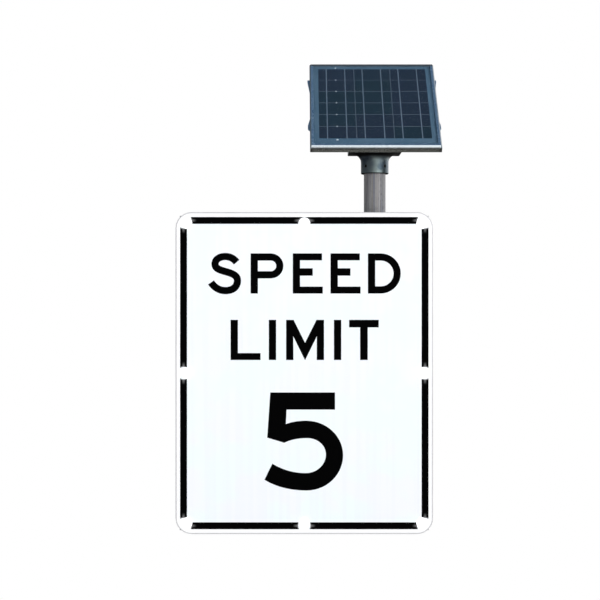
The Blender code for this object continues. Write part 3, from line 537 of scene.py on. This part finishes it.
def fastener_paint(name, colour, roughness=0.32):
    """Plated steel with turning marks, dulled in patches."""
    paint = Paint(name, colour, {"Metallic": 0.9})
    patches = paint.noise(190.0, 4.0, roughness=0.65)
    lines = paint.noise(2600.0, 2.0, paint.place((1, 1, 0.2)))
    tone = paint.blend(patches, 0.40, 0.70, colour, scaled(colour, 0.62), 0.8)
    return paint.finish(tone, paint.fade(patches, 0.3, 0.7, roughness - 0.05, roughness + 0.16),
                        (lines, 0.00002, 0.3))


def moulded_paint(name, colour, roughness=0.5, grain=1400.0, relief=0.00008, dust=0.0):
    """Moulded plastic or rubber: an eggshell grain, faint flow clouds and a little dust."""
    paint = Paint(name, colour, {"Specular IOR Level": 0.45})
    skin = paint.noise(grain, 3.0, roughness=0.55)
    clouds = paint.noise(16.0, 3.0)
    light = tuple(channel * 1.12 + 0.004 for channel in colour)
    tone = paint.blend(clouds, 0.35, 0.65, scaled(colour, 0.86), light)
    if dust:
        specks = paint.noise(330.0, 5.0, roughness=0.75)
        tone = paint.blend(specks, 0.56, 0.72, tone, (0.42, 0.41, 0.39), dust)
    return paint.finish(tone, paint.fade(skin, 0.3, 0.7, roughness - 0.06, roughness + 0.08),
                        (skin, relief, 0.4))


def board_paint():
    """Green solder mask with copper runs; what stands on the board is black, grey or silver."""
    paint = Paint("circuit_board_green", (0.02, 0.13, 0.06), {"Roughness": 0.35})
    axes = paint.axes(paint.place())
    runs = paint.grains(260.0, feature="DISTANCE_TO_EDGE", output="Distance")
    copper = paint.fade(runs, 0.03, 0.07, 1.0, 0.0)
    tone = paint.mix(paint.times(copper, 0.7), (0.012, 0.105, 0.045), (0.06, 0.26, 0.10))
    moulded = paint.mix(paint.noise(700.0, 2.0), (0.015, 0.015, 0.016), (0.030, 0.030, 0.032))
    board_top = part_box("controller_board")[0].y + 0.0114
    standing = paint.math("GREATER_THAN", axes[1], board_top)
    tone = paint.mix(standing, tone, moulded)
    heat_sink_base = board_top + 0.0128
    sink = paint.times(standing, paint.math("GREATER_THAN", axes[1], heat_sink_base))
    tone = paint.mix(sink, tone, (0.52, 0.53, 0.55))
    paint.set("Base Color", tone)
    paint.bump(copper, 0.00004, 0.4)
    return paint


def panel_place(paint):
    """Coordinates across the panel, up its slope and out of its face, from its pivot."""
    return paint.place(origin=tuple(PIVOT), turn=(PANEL_TILT, 0, 0))


def frame_paint():
    """Metal extrusion painted with light: its face's blue-grey tint is a painted sky reflection, its outer
    side plain grey with painted shade near the shoulder and at the ends, its lower chamfer a painted
    highlight, and its side and top chamfers painted dark as shade, lighter on the right.
    """
    paint = Paint("sky_tinted_frame", (0.55, 0.66, 0.76), {"Metallic": 0.92})
    local = panel_place(paint)
    axes = paint.axes(local)
    drawn = paint.noise(900.0, 3.0, local)
    clouds = paint.noise(26.0, 4.0)
    scuffs = paint.noise(300.0, 5.0, roughness=0.75)
    # Painted reflection: the face's blue-grey tint stands in for the sky it mirrors.
    tone = paint.blend(clouds, 0.35, 0.65, (0.56, 0.68, 0.80), (0.66, 0.77, 0.86))
    tone = paint.blend(scuffs, 0.62, 0.74, tone, (0.30, 0.33, 0.36), 0.3)
    outside = paint.math("LESS_THAN", axes[2], FRAME_SHOULDER)
    # The outer side is painted plain grey, without the sky tint.
    outer_side_grey = paint.blend(clouds, 0.35, 0.65, (0.35, 0.375, 0.355), (0.43, 0.455, 0.435))
    tone = paint.mix(outside, tone, outer_side_grey)
    across = paint.magnitude(paint.minus(axes[0], PANEL_MIDDLE))
    side = paint.fade(across, PANEL_HALF - 0.0032, PANEL_HALF - 0.0024)
    top = paint.fade(axes[1], PANEL_HIGH - 0.0100, PANEL_HIGH - 0.0088)
    ends = paint.fade(across, PANEL_HALF - 0.0100, PANEL_HALF - 0.0030)
    shade = paint.fade(axes[2], FRAME_SHOULDER - 0.0050, FRAME_SHOULDER - 0.0006)
    shade = paint.larger(shade, paint.times(ends, 0.8))
    tone = paint.mix(paint.times(shade, outside), tone, (0.14, 0.15, 0.15))
    inside = paint.minus(1.0, outside)
    # Painted highlight: a near-white band along the lower chamfer.
    lower_chamfer_highlight = paint.fade(axes[1], PANEL_LOW + 0.0030, PANEL_LOW + 0.0040, 1.0, 0.0)
    tone = paint.mix(paint.times(lower_chamfer_highlight, inside), tone, (0.86, 0.95, 1.0))
    # Painted shade on the side chamfers, lighter on the right half, where more light falls.
    right = paint.math("GREATER_THAN", axes[0], PANEL_MIDDLE)
    side_chamfer_shade = paint.mix(right, (0.070, 0.105, 0.135), (0.125, 0.170, 0.205))
    tone = paint.mix(paint.times(side, inside), tone, side_chamfer_shade)
    # Painted shade: the top chamfer is painted near black.
    tone = paint.mix(paint.times(top, inside), tone, (0.048, 0.062, 0.075))
    shaded_chamfers = paint.times(paint.larger(side, top), inside)
    paint.set("Metallic", paint.times(paint.minus(1.0, shaded_chamfers), 0.92))
    return paint.finish(tone, paint.plus(paint.fade(drawn, 0.3, 0.7, 0.20, 0.30), paint.times(shaded_chamfers, 0.3)),
                        (drawn, 0.00003, 0.3))


def glass_paint():
    """Rolled low-iron glass with a fine stipple; lamps shine through it onto the cells."""
    paint = Paint("solar_glass", (0.97, 0.99, 0.98), {"Transmission Weight": 1.0, "IOR": 1.45})
    stipple = paint.noise(900.0, 2.0)
    smears = paint.noise(11.0, 4.0)
    paint.set("Roughness", paint.fade(smears, 0.40, 0.70, 0.03, 0.06))
    paint.bump(stipple, 0.00003, 0.12)
    clear = paint.feed("BsdfTransparent", {"Color": (0.93, 0.95, 0.95)})
    shadow = paint.node("LightPath").outputs["Is Shadow Ray"]
    surface = paint.feed("MixShader", {0: shadow, 1: paint.shader.outputs[0], 2: clear})
    paint.put(surface, paint.tree.nodes["Material Output"].inputs["Surface"])
    return paint


def laminate_paint():
    """Backing of the cells: dark blue in front, white sheet behind, with a faint weave."""
    paint = Paint("cell_backing", (0.07, 0.12, 0.18), {"Roughness": 0.45})
    axes = paint.axes(panel_place(paint))
    rear = paint.math("LESS_THAN", axes[2], LAMINATE_FRONT - 0.0002)
    weave = paint.noise(1200.0, 2.0)
    clouds = paint.noise(20.0, 3.0)
    front = paint.blend(clouds, 0.35, 0.65, (0.060, 0.115, 0.180), (0.080, 0.140, 0.210))
    white = paint.blend(clouds, 0.35, 0.65, (0.66, 0.67, 0.67), (0.78, 0.79, 0.78))
    paint.set("Base Color", paint.mix(rear, front, white))
    paint.bump(weave, 0.00003, 0.3)
    return paint


def cell_paint():
    """Polycrystalline silicon: each cell its own navy, with faint shards and fine silver fingers."""
    paint = Paint("silicon_cells", (0.012, 0.025, 0.045), {"Metallic": 0.1, "Specular IOR Level": 0.4})
    local = panel_place(paint)
    axes = paint.axes(local)
    columns_per_metre, rows_per_metre = CELL_COLUMNS / (2 * CELL_HALF_X), CELL_ROWS / (CELL_HIGH - CELL_LOW)
    from_left, from_foot = paint.minus(axes[0], PANEL_MIDDLE - CELL_HALF_X), paint.minus(axes[1], CELL_LOW)
    column = paint.math("FLOOR", paint.times(from_left, columns_per_metre))
    row = paint.math("FLOOR", paint.times(from_foot, rows_per_metre))
    draw = paint.feed("TexWhiteNoise", {"Vector": paint.feed("CombineXYZ", {0: column, 1: row})})
    shards = paint.axes(paint.grains(140.0, local))
    tone = paint.ramp(draw, [(0.0, (0.0022, 0.0090, 0.0135)), (0.45, (0.0030, 0.0092, 0.0160)),
                             (0.55, (0.0062, 0.0072, 0.0185)), (1.0, (0.0070, 0.0080, 0.0200))])
    tone = paint.mix(paint.times(shards[0], 0.25), tone, (0.0070, 0.0140, 0.0240))
    finger_pitch = 0.0020
    ripple = paint.math("PINGPONG", axes[1], finger_pitch / 2)
    fingers = paint.fade(ripple, 0.00004, 0.00016, 1.0, 0.0)
    tone = paint.mix(paint.times(fingers, 0.25), tone, (0.04, 0.06, 0.08))
    return paint.finish(tone, paint.fade(shards[1], 0.0, 1.0, 0.30, 0.40), (fingers, 0.00003, 0.3))


def tinned_paint(name, dark, light):
    """Tinned copper ribbon, dull and slightly uneven."""
    paint = Paint(name, dark, {"Metallic": 0.3})
    dents = paint.noise(480.0, 4.0)
    return paint.finish(paint.blend(dents, 0.35, 0.65, dark, light), paint.fade(dents, 0.3, 0.7, 0.35, 0.5),
                        (dents, 0.00006, 0.4))


# -------- making and dressing pieces
def dress(node, paint, edge=0.0):
    """A CAD node's finish, with its sharp edges eased by the given width."""
    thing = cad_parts[node]
    for slot in thing.material_slots:
        slot.material = paint.material
    if edge:
        ease(thing, edge)


def ease(thing, width):
    """Merges the facets of flat faces and rounds edges sharper than 34 degrees."""
    for name, kind, settings in (
            ("weld", "WELD", {"merge_threshold": 0.00002}),
            ("merge_flats", "DECIMATE", {"decimate_type": "DISSOLVE", "angle_limit": radians(0.6)}),
            ("eased_edges", "BEVEL", {"width": width, "segments": 2, "limit_method": "ANGLE",
                                      "angle_limit": radians(34), "use_clamp_overlap": True}),
            ("even_shading", "WEIGHTED_NORMAL", {"weight": 60})):
        adjusted(thing.modifiers.new(name, kind), settings)


def show(name, data):
    thing = bpy.data.objects.new(name, data)
    bpy.context.scene.collection.objects.link(thing)
    return thing


def applied_mesh(thing):
    """A copy of an object's shape with its modifiers applied."""
    bpy.context.view_layer.update()
    return bpy.data.meshes.new_from_object(thing.evaluated_get(bpy.context.evaluated_depsgraph_get()))


def add(name, bm, body, paint, sharp=35):
    """A new piece, made in the sign's frame. Faces that meet at more than sharp degrees stay crisp."""
    bmesh.ops.recalc_face_normals(bm, faces=bm.faces)
    mesh = bpy.data.meshes.new(name)
    bm.to_mesh(mesh)
    bm.free()
    mesh.materials.append(paint.material)
    mesh.shade_smooth()
    mesh.set_sharp_from_angle(angle=radians(sharp))
    thing = show(name, mesh)
    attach(thing, body)
    return thing


def loft(bm, loops):
    """Skin through matching loops of points, capped at both ends."""
    rings = [[bm.verts.new(point) for point in loop] for loop in loops]
    bm.faces.new(rings[0])
    bm.faces.new(rings[-1])
    for first, second in zip(rings, rings[1:]):
        for i in range(len(first)):
            j = (i + 1) % len(first)
            bm.faces.new((first[i], first[j], second[j], second[i]))


def axis_frame(centre, axis, direction=1):
    """Matrix that lays local Z along a world axis."""
    along = Vector({"X": (1, 0, 0), "Y": (0, 1, 0), "Z": (0, 0, 1)}[axis]) * direction
    return Matrix.Translation(centre) @ along.to_track_quat("Z", "Y").to_matrix().to_4x4()


def turned(bm, profile, place, sides=48):
    """Body of revolution through (radius, height) pairs."""
    loft(bm, [[place @ Vector((radius * cos(2 * pi * i / sides), radius * sin(2 * pi * i / sides), height))
               for i in range(sides)] for radius, height in profile])


# -------- printed legend and border
def flat_print(name, loops, paint):
    """Ink of the given outlines (millimetres from the sign's centre) on the sheeting."""
    curve = bpy.data.curves.new(name, "CURVE")
    curve.dimensions = "2D"
    curve.fill_mode = "BOTH"
    curve.extrude = INK_SHEET / 2
    for loop in loops:
        spline = curve.splines.new("POLY")
        spline.points.add(len(loop) - 1)
        for point, (x, y) in zip(spline.points, loop):
            point.co = (x * MM, y * MM, 0, 1)
        spline.use_cyclic_u = True
    scratch = show("scratch", curve)
    mesh = applied_mesh(scratch)
    bpy.data.objects.remove(scratch)
    bm = bmesh.new()
    bm.from_mesh(mesh)
    bpy.data.meshes.remove(mesh)
    bmesh.ops.remove_doubles(bm, verts=bm.verts, dist=0.000001)
    bm.transform(Matrix.Translation((0, INK_FRONT + INK_SHEET / 2, 0)) @ Matrix.Rotation(pi / 2, 4, "X"))
    return add(name, bm, "sign_head", paint)


def inked(letter):
    """A letter's outlines as printed: ink runs out past the outer one and into the eye."""
    shell, *eyes = letter()
    return [spread(shell, INK_SPREAD)] + [spread(eye, -INK_SPREAD) for eye in eyes]


def print_legend(paint):
    """Two words, each with its baseline and its letters' left ends, and the numeral."""
    words = {"legend_upper": (188.8, ((letter_s, -227.1), (letter_p, -126.6), (letter_e, -26.8),
                                      (letter_e, 62.5), (letter_d, 151.0))),
             "legend_lower": (31.5, ((letter_l, -173.9), (letter_i, -83.5), (letter_m, -42.6),
                                     (letter_i, 70.6), (letter_t, 106.5)))}
    for name, (baseline, letters) in words.items():
        loops = [[(x + left, y + baseline) for x, y in loop]
                 for letter, left in letters for loop in inked(letter)]
        flat_print(name, loops, paint)
    flat_print("legend_numeral", inked(digit_five), paint)


def print_border(paint):
    """Border line, broken by an unprinted disc around each light."""
    def edge(inset):
        half_x, half_y = HALF_WIDTH - BORDER_INSET.x - inset, HALF_HEIGHT - BORDER_INSET.y - inset
        return rounded(half_x / MM, half_y / MM, (BORDER_CORNER - inset) / MM)

    ring = flat_print("border_ink", [edge(0), edge(BORDER_WIDTH)], paint)
    reach = 0.001
    cutter = bmesh.new()
    for middle_x, middle_z, radius in BORDER_BREAKS:
        disc = arc((middle_x, middle_z), radius, 0, 352.5, 47)
        loft(cutter, [[(x, INK_FRONT + depth, z) for x, z in disc] for depth in (-reach, reach)])
    bmesh.ops.recalc_face_normals(cutter, faces=cutter.faces)
    scratch_mesh = bpy.data.meshes.new("scratch")
    cutter.to_mesh(scratch_mesh)
    cutter.free()
    scratch = show("scratch", scratch_mesh)
    adjusted(ring.modifiers.new("light_clearance", "BOOLEAN"),
             {"operation": "DIFFERENCE", "solver": "EXACT", "object": scratch})
    cut = applied_mesh(ring)
    ring.modifiers.clear()
    ring.data = cut
    bpy.data.objects.remove(scratch)


# -------- bolts, screws and lights
def hexagon(angle, radius):
    """Distance from a hexagon's centre to its outline; radius is to its corners."""
    sector = pi / 3
    return radius * cos(sector / 2) / cos((angle % sector) - sector / 2)


def hex_head(bm, place, radius, low, high, socket=0.0):
    """Hexagon prism with its upper corners turned off, dished or carrying the end of a shank (socket)."""
    sides = 48
    crown = radius * 0.88
    slope = tan(radians(28))
    angles = [2 * pi * i / sides for i in range(sides)]

    def ring(radii, heights):
        radii, heights = (line if isinstance(line, list) else [line] * sides for line in (radii, heights))
        return [place @ Vector((r * cos(a), r * sin(a), h)) for a, r, h in zip(angles, radii, heights)]

    flats = [hexagon(a, radius) for a in angles]
    washer = [min(f, radius * 0.90) for f in flats]
    chamfer = [high - max(0.0, f - crown) * slope for f in flats]
    tops = [min(f, crown) for f in flats]
    thin = (high - low) * 0.06
    loops = [ring(washer, low), ring(washer, low + thin), ring(flats, low + thin * 1.4),
             ring(flats, chamfer), ring(tops, high)]
    if socket:
        recess = 0.0005
        loops += [ring(socket * 1.12, high), ring(socket * 1.02, high - recess),
                  ring(socket * 0.98, high - recess), ring(socket * 0.82, high - recess * 0.3)]
    else:
        dish = 0.00025
        loops += [ring(crown * 0.72, high), ring(crown * 0.66, high - dish)]
    loft(bm, loops)


def thread(bm, place, radius, low, high, pitch=0.0010):
    """Shank with its thread as rings, its ends slightly tapered."""
    count = max(2, int((high - low) / pitch))
    step = (high - low) / count
    root, tip = radius * 0.89, radius * 0.86
    profile = [(tip, low)]
    for i in range(count):
        base = low + step * i
        profile += [(radius, base + step * 0.35), (radius, base + step * 0.5), (root, base + step * 0.85)]
    turned(bm, profile + [(tip, high)], place, 24)


def detailed_bolt(node, axis, direction, head, shank, nut, paint, body):
    """Hex bolt standing in for a CAD bolt. Head and nut, if any, are a corner radius and a length."""
    low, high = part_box(node)
    index = "XYZ".index(axis)
    head_radius, head_length = head
    nut_radius, nut_length = nut or (0.0, 0.0)
    half = (high[index] - low[index]) / 2
    place = axis_frame((low + high) / 2, axis, direction)
    bm = bmesh.new()
    hex_head(bm, place, head_radius, half - head_length, half)
    if nut:
        hex_head(bm, place @ Matrix.Rotation(pi, 4, "X"), nut_radius, half - nut_length, half, socket=shank)
    thread(bm, place, shank * 0.98, -half + nut_length, half - head_length)
    bolt = add(node + "_detail", bm, body, paint, 28)
    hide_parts(node)


def fit_bolts(paint):
    m6_shank, m8_shank = 0.0031, 0.0039
    for level in ("upper", "lower"):
        for side in ("left", "right"):
            detailed_bolt("strap_bolt_%s_%s" % (level, side), "Y", 1, (0.0065, 0.005), m6_shank,
                          (0.0078, 0.005), paint, "sign_head")
    for corner in ("front_left", "front_right", "rear_right", "rear_left"):
        detailed_bolt("yoke_bolt_" + corner, "Z", 1, (0.0065, 0.004), m6_shank, None, paint, "mount_head")
    for side, direction in (("left", -1), ("right", 1)):
        detailed_bolt("pivot_bolt_" + side, "X", direction, (0.0075, 0.005), m8_shank, (0.0075, 0.006),
                      paint, "mount_head")


def lug_bolt(bm, place):
    """Bolt head on a washer, at one of the control box's lugs."""
    washer = 0.0014
    turned(bm, [(0.0072, 0.0), (0.0075, 0.0003), (0.0075, 0.0011), (0.0070, washer)], place, 40)
    hex_head(bm, place, 0.0058, washer, washer + 0.0040)


def plate_screw(bm, place):
    """Countersunk screw, flush with the post plate, with a round drive recess."""
    turned(bm, [(0.0038, -0.0056), (0.0040, -0.0006), (0.0037, -0.0003), (0.0022, -0.0003),
                (0.0019, -0.0018), (0.0003, -0.0022)], place, 36)


def terminal_screw(bm, place):
    """Small cheese head with a dimple."""
    turned(bm, [(0.0022, 0.0), (0.0022, 0.0009), (0.0018, 0.0012), (0.0006, 0.0012), (0.0005, 0.0006)],
           place, 24)


def fit_row(name, build, spots, paint):
    """Numbered screws that face the rear, one at each spot."""
    for number, spot in enumerate(spots, 1):
        bm = bmesh.new()
        build(bm, axis_frame(Vector(spot), "Y"))
        add("%s_%d" % (name, number), bm, "sign_head", paint, 28)


def fit_small_screws(paint, dark):
    """Bolts through the box's lugs, flush screws in the post plate and screws in the terminals."""
    rail_levels = [(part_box(rail)[0].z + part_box(rail)[1].z) / 2 for rail in ("rail_lower", "rail_upper")]
    lug_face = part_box("rail_upper")[1].y + 0.0038
    box_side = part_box("control_box")[1].x
    lugs = [(box_side - inset, lug_face, z) for inset in (0.158, 0.030) for z in rail_levels]
    fit_row("lug_bolt", lug_bolt, lugs, paint)

    low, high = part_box("post_plate")
    inset = 0.015
    sinks = [(x, high.y, z) for x in (low.x + inset, high.x - inset) for z in rail_levels]
    fit_row("plate_screw", plate_screw, sinks, paint)

    low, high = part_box("terminal_block")
    ways, seat, setback = 6, 0.0091, 0.005
    pitch = (high.x - low.x) / ways
    wells = [(low.x + pitch * (way + 0.5), low.y + seat, high.z - setback) for way in range(ways)]
    fit_row("terminal_screw", terminal_screw, wells, dark)


def fit_lights(lens_finish, body_finish):
    """Each border light: a domed lens over a turned body with a flanged nut behind."""
    radius, seat = 0.0130, 0.0045
    rise = seat - 0.0010
    barrel, lead = 0.0079, 0.0030
    flange, collar, nut_corner = 0.0120, 0.0020, 0.0112
    angles = [pi / 2 * i / 10 for i in range(1, 11)]
    dome = [(0.0008, 0.00003)] + [(radius * sin(angle), rise - rise * cos(angle)) for angle in angles]
    for node in LIGHTS:
        low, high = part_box(node)
        place = axis_frame(Vector(((low.x + high.x) / 2, low.y, (low.z + high.z) / 2)), "Y")
        bm = bmesh.new()
        turned(bm, dome + [(radius, seat - 0.0001), (radius - 0.0004, seat)], place, 64)
        add(node.replace("led_", "lens_"), bm, "sign_head", lens_finish, 50)
        bm = bmesh.new()
        depth = high.y - low.y
        nut = depth - 0.014
        turned(bm, [(barrel, seat + 0.0001), (barrel, nut)], place, 40)
        turned(bm, [(flange - 0.0002, nut), (flange, nut + 0.0004), (flange, nut + 0.0016),
                    (flange - 0.0016, nut + collar)], place, 40)
        hex_head(bm, place, nut_corner, nut + collar, nut + collar + 0.0040, socket=barrel)
        thread(bm, place, barrel, nut + 0.0056, depth - 0.0012, 0.0011)
        turned(bm, [(lead, depth - 0.0013), (lead, depth)], place, 24)
        body = add(node.replace("led_", "lamp_body_"), bm, "sign_head", body_finish, 30)
        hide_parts(node)


# -------- cells
def about(middle, half):
    return middle - half, middle + half


def panel_block(bm, x_span, s_span, n_span):
    """Thin block in the panel's own frame: across, up its slope and out of its face."""
    loft(bm, [[PANEL @ Vector((x, s, n)) for x, s in rectangle(*x_span, *s_span)] for n in n_span])


def fit_cells(cell_finish, ribbon_finish, dull_finish, solder_finish):
    """Cells in columns and rows, two busbars down each column, ribbons and joints across the gaps."""
    width = 2 * CELL_HALF_X / CELL_COLUMNS
    height = (CELL_HIGH - CELL_LOW) / CELL_ROWS
    left_edge, right_edge = about(PANEL_MIDDLE, CELL_HALF_X)
    gap, thick, foil = 0.0008, 0.00012, 0.00006
    busbar_half, seam_half, joint_half = 0.0012, 0.0007, 0.0014
    base = LAMINATE_FRONT + 0.00002
    top = base + thick
    full_length = (CELL_LOW, CELL_HIGH)
    levels = [CELL_LOW + row * height for row in range(CELL_ROWS + 1)]
    cells, bars, seams, joints = bmesh.new(), bmesh.new(), bmesh.new(), bmesh.new()
    for column in range(CELL_COLUMNS):
        left = left_edge + column * width
        for low in levels[:-1]:
            across, along = (left + gap, left + width - gap), (low + gap * 0.7, low + height - gap * 0.7)
            panel_block(cells, across, along, (base, top))
        for share in (0.23, 0.745):
            panel_block(bars, about(left + share * width, busbar_half), full_length, (top, top + foil))
        if column:
            panel_block(seams, about(left, seam_half), full_length, (top, top + foil * 0.5))
    for row in range(1, CELL_ROWS):
        half = 0.0008 if row < CELL_ROWS - 1 else 0.0005
        panel_block(seams, (left_edge, right_edge), about(levels[row], half), (top, top + foil * 0.5))
    joint_x = left_edge + 0.49 * width
    lowest, highest = (levels[0] - 0.0045, 0.0024), (levels[-1] + 0.0040, 0.0017)
    for level, half in [lowest] + [(level, joint_half) for level in levels[1:-1]] + [highest]:
        panel_block(joints, about(joint_x, half), about(level, half), (top, top + 2 * foil))
    for name, bm, finish in (("solar_cells", cells, cell_finish), ("cell_busbars", bars, ribbon_finish),
                             ("cell_seams", seams, dull_finish), ("solder_joints", joints, solder_finish)):
        add(name, bm, "solar_panel", finish)


# -------- the whole sign
def dress_frame():
    """Every CAD node's finish, and the bolts, screws and lights that stand in for plain ones."""
    sheet = brushed_paint("mill_aluminium", (0.62, 0.63, 0.64), "Z")
    rail = brushed_paint("rail_aluminium", (0.56, 0.57, 0.58), "X", 0.33)
    zinc = galvanised_paint()
    rim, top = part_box("mount_collar")[0].z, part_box("mount_collar")[1].z
    underside = top - 0.008
    # The collar is painted dark below its flange as shade, and along its lower rim.
    collar = casting_paint("cast_collar", (0.050, 0.068, 0.074), (0.200, 0.245, 0.238), (rim, underside))
    yoke = casting_paint("cast_yoke", (0.050, 0.066, 0.072), (0.150, 0.185, 0.185))
    saddle = casting_paint("cast_saddle", (0.16, 0.165, 0.165), (0.27, 0.275, 0.275))
    plated = fastener_paint("zinc_plate", (0.55, 0.55, 0.56))
    black_steel = fastener_paint("black_oxide", (0.03, 0.03, 0.032), 0.4)
    shell = moulded_paint("grey_shell", (0.30, 0.31, 0.315), 0.46, 1500.0, 0.00008, 0.12)
    black = moulded_paint("black_plastic", (0.018, 0.018, 0.019), 0.42, 1700.0, 0.00006, 0.06)
    rubber = moulded_paint("rubber", (0.014, 0.014, 0.014), 0.75, 800.0, 0.00012, 0.10)
    green = moulded_paint("terminal_green", (0.02, 0.20, 0.07), 0.4)
    red = moulded_paint("button_red", (0.50, 0.018, 0.012), 0.3)
    extrusion = frame_paint()
    # The bracket's blue-grey tint is painted to stand in for the sky's reflection.
    bracket = brushed_paint("sky_tinted_bracket", (0.50, 0.62, 0.73), "X", 0.30)

    finishes = (
        (sheet, 0.0004, ("sign_panel", "wireway_left", "wireway_right", "wireway_top", "wireway_bottom")),
        (sheeting_paint(), 0.0, ("reflective_sheeting",)),
        (rail, 0.0005, ("rail_upper", "rail_lower")),
        (zinc, 0.0005, ("post_plate", "mast_strap_upper", "mast_strap_lower")),
        (bracket, 0.0005, ("panel_bracket",)),
        (mast_paint(), 0.0005, ("mast",)),
        (saddle, 0.0008, ("mast_saddle_upper", "mast_saddle_lower")),
        (collar, 0.0008, ("mount_collar",)),
        (yoke, 0.0008, ("tilt_yoke",)),
        (black_steel, 0.0002, ["set_screw_%d" % number for number in (1, 2, 3, 4)]),
        (plated, 0.0003, ("conduit_nipple", "hinge_pin", "door_latch", "battery_strap")),
        (shell, 0.0008, ("control_box", "box_door")),
        (black, 0.0005, ("solar_gland", "power_rocker", "junction_box", "mast_plug", "battery")),
        (rubber, 0.0002, ("box_gasket",)),
        (board_paint(), 0.0001, ("controller_board",)),
        (green, 0.0003, ("terminal_block",)),
        (red, 0.0003, ("test_button",)),
        (extrusion, 0.0004, ["panel_frame_" + side for side in ("lower", "right", "upper", "left")]),
        (glass_paint(), 0.0004, ("panel_glass",)),
        (laminate_paint(), 0.0, ("cell_laminate",)))
    for paint, edge, nodes in finishes:
        for node in nodes:
            dress(node, paint, edge)
    fit_bolts(plated)
    fit_small_screws(plated, black_steel)
    fit_lights(lens_paint(), moulded_paint("lamp_black", (0.02, 0.02, 0.02), 0.4))


# -------- studio
def lay_floor():
    """Pale floor well below the sign."""
    radius, level, thickness, sides = 3.2, -1.5, 0.01, 96
    bm = bmesh.new()
    circle = [2 * pi * i / sides for i in range(sides)]
    loft(bm, [[(radius * cos(a), radius * sin(a), z) for a in circle] for z in (level - thickness, level)])
    mesh = bpy.data.meshes.new("floor")
    bm.to_mesh(mesh)
    bm.free()
    pale = Paint("pale_floor", (0.85, 0.85, 0.85), {"Roughness": 0.8, "Emission Color": (1, 1, 1),
                                                    "Emission Strength": 0.4})
    pale.set("Base Color", pale.blend(pale.noise(3.0), 0.3, 0.7, (0.83, 0.83, 0.83), (0.87, 0.87, 0.87)))
    mesh.materials.append(pale.material)
    floor = show("floor", mesh)
    floor.visible_diffuse = False
    floor.visible_glossy = False


def light_lamps():
    """Soft square lamps, all turned to the sign; only the first of each pair is mirrored in the glass."""
    aim = Vector((0, 0, 0.1))
    for name, place, size, power, mirrored in (("key", (2.4, -3.2, 1.4), 3.0, 84.0, True),
                                               ("fill", (-2.8, -2.9, 0.3), 3.0, 62.0, False),
                                               ("rear", (3.3, 2.3, 0.4), 4.0, 84.0, True),
                                               ("rear_fill", (-2.6, 3.0, -0.1), 4.0, 56.0, False)):
        light = bpy.data.lights.new(name, "AREA")
        light.size = size
        light.energy = power
        lamp = show(name, light)
        lamp.location = place
        lamp.visible_glossy = mirrored
        lamp.rotation_euler = (aim - Vector(place)).to_track_quat("-Z", "Y").to_euler()


def hang_sky():
    """White behind the sign; what lights it is dark overhead and underfoot, with a softbox in front."""
    world = bpy.data.worlds.new("studio")
    bpy.context.scene.world = world
    world.use_nodes = True
    world.node_tree.nodes.clear()
    nodes = Nodes(world.node_tree)
    direction = nodes.node("TexCoord").outputs["Generated"]
    axes = nodes.axes(direction)
    sky = nodes.ramp(nodes.fade(axes[2], -1.0, 1.0, curve="LINEAR"), (
        (0.0, (0.12, 0.11, 0.10)), (0.35, (0.15, 0.145, 0.14)), (0.45, (0.50, 0.50, 0.50)),
        (0.54, (0.62, 0.62, 0.62)), (0.63, (0.34, 0.37, 0.41)), (0.73, (0.13, 0.18, 0.24)),
        (0.90, (0.07, 0.14, 0.23))))
    side_flags = nodes.fade(nodes.magnitude(axes[0]), 0.0, 1.0, 1.0, 0.35, "LINEAR")
    dimmed = nodes.feed("VectorMath", {0: sky, "Scale": side_flags}, operation="SCALE")
    softbox_way = (0.48, -0.86, -0.17)
    ahead = nodes.feed("VectorMath", {0: direction, 1: softbox_way}, "Value", operation="DOT_PRODUCT")
    softbox = nodes.fade(ahead, 0.52, 0.86, 0.0, 1.10)
    total = nodes.feed("VectorMath", {0: dimmed, 1: softbox}, operation="MAXIMUM")
    to_camera = nodes.node("LightPath").outputs["Is Camera Ray"]
    shine, backdrop = (nodes.feed("Background", {0: colour}) for colour in (total, (1.0, 1.0, 1.0)))
    surface = nodes.feed("MixShader", {0: to_camera, 1: shine, 2: backdrop})
    nodes.put(surface, nodes.node("OutputWorld").inputs[0])


def set_camera():
    """Level, in front of the sign and a little above its centre."""
    lens = bpy.data.cameras.new("front")
    lens.lens = 84.36
    lens.sensor_width = 36
    eye = show("front", lens)
    eye.location = (-0.0102, -3.3636, 0.173)
    eye.rotation_euler = (pi / 2, 0, 0)
    bpy.context.scene.camera = eye
    bpy.context.scene.view_settings.view_transform = "Standard"


set_camera()
lay_floor()
light_lamps()
hang_sky()
dress_frame()
black_ink = ink_paint()
print_legend(black_ink)
print_border(black_ink)
fit_cells(cell_paint(), tinned_paint("tinned_ribbon", (0.13, 0.17, 0.23), (0.19, 0.23, 0.29)),
          tinned_paint("cell_gap_foil", (0.10, 0.12, 0.15), (0.15, 0.17, 0.20)),
          tinned_paint("solder", (0.62, 0.68, 0.74), (0.80, 0.86, 0.92)))
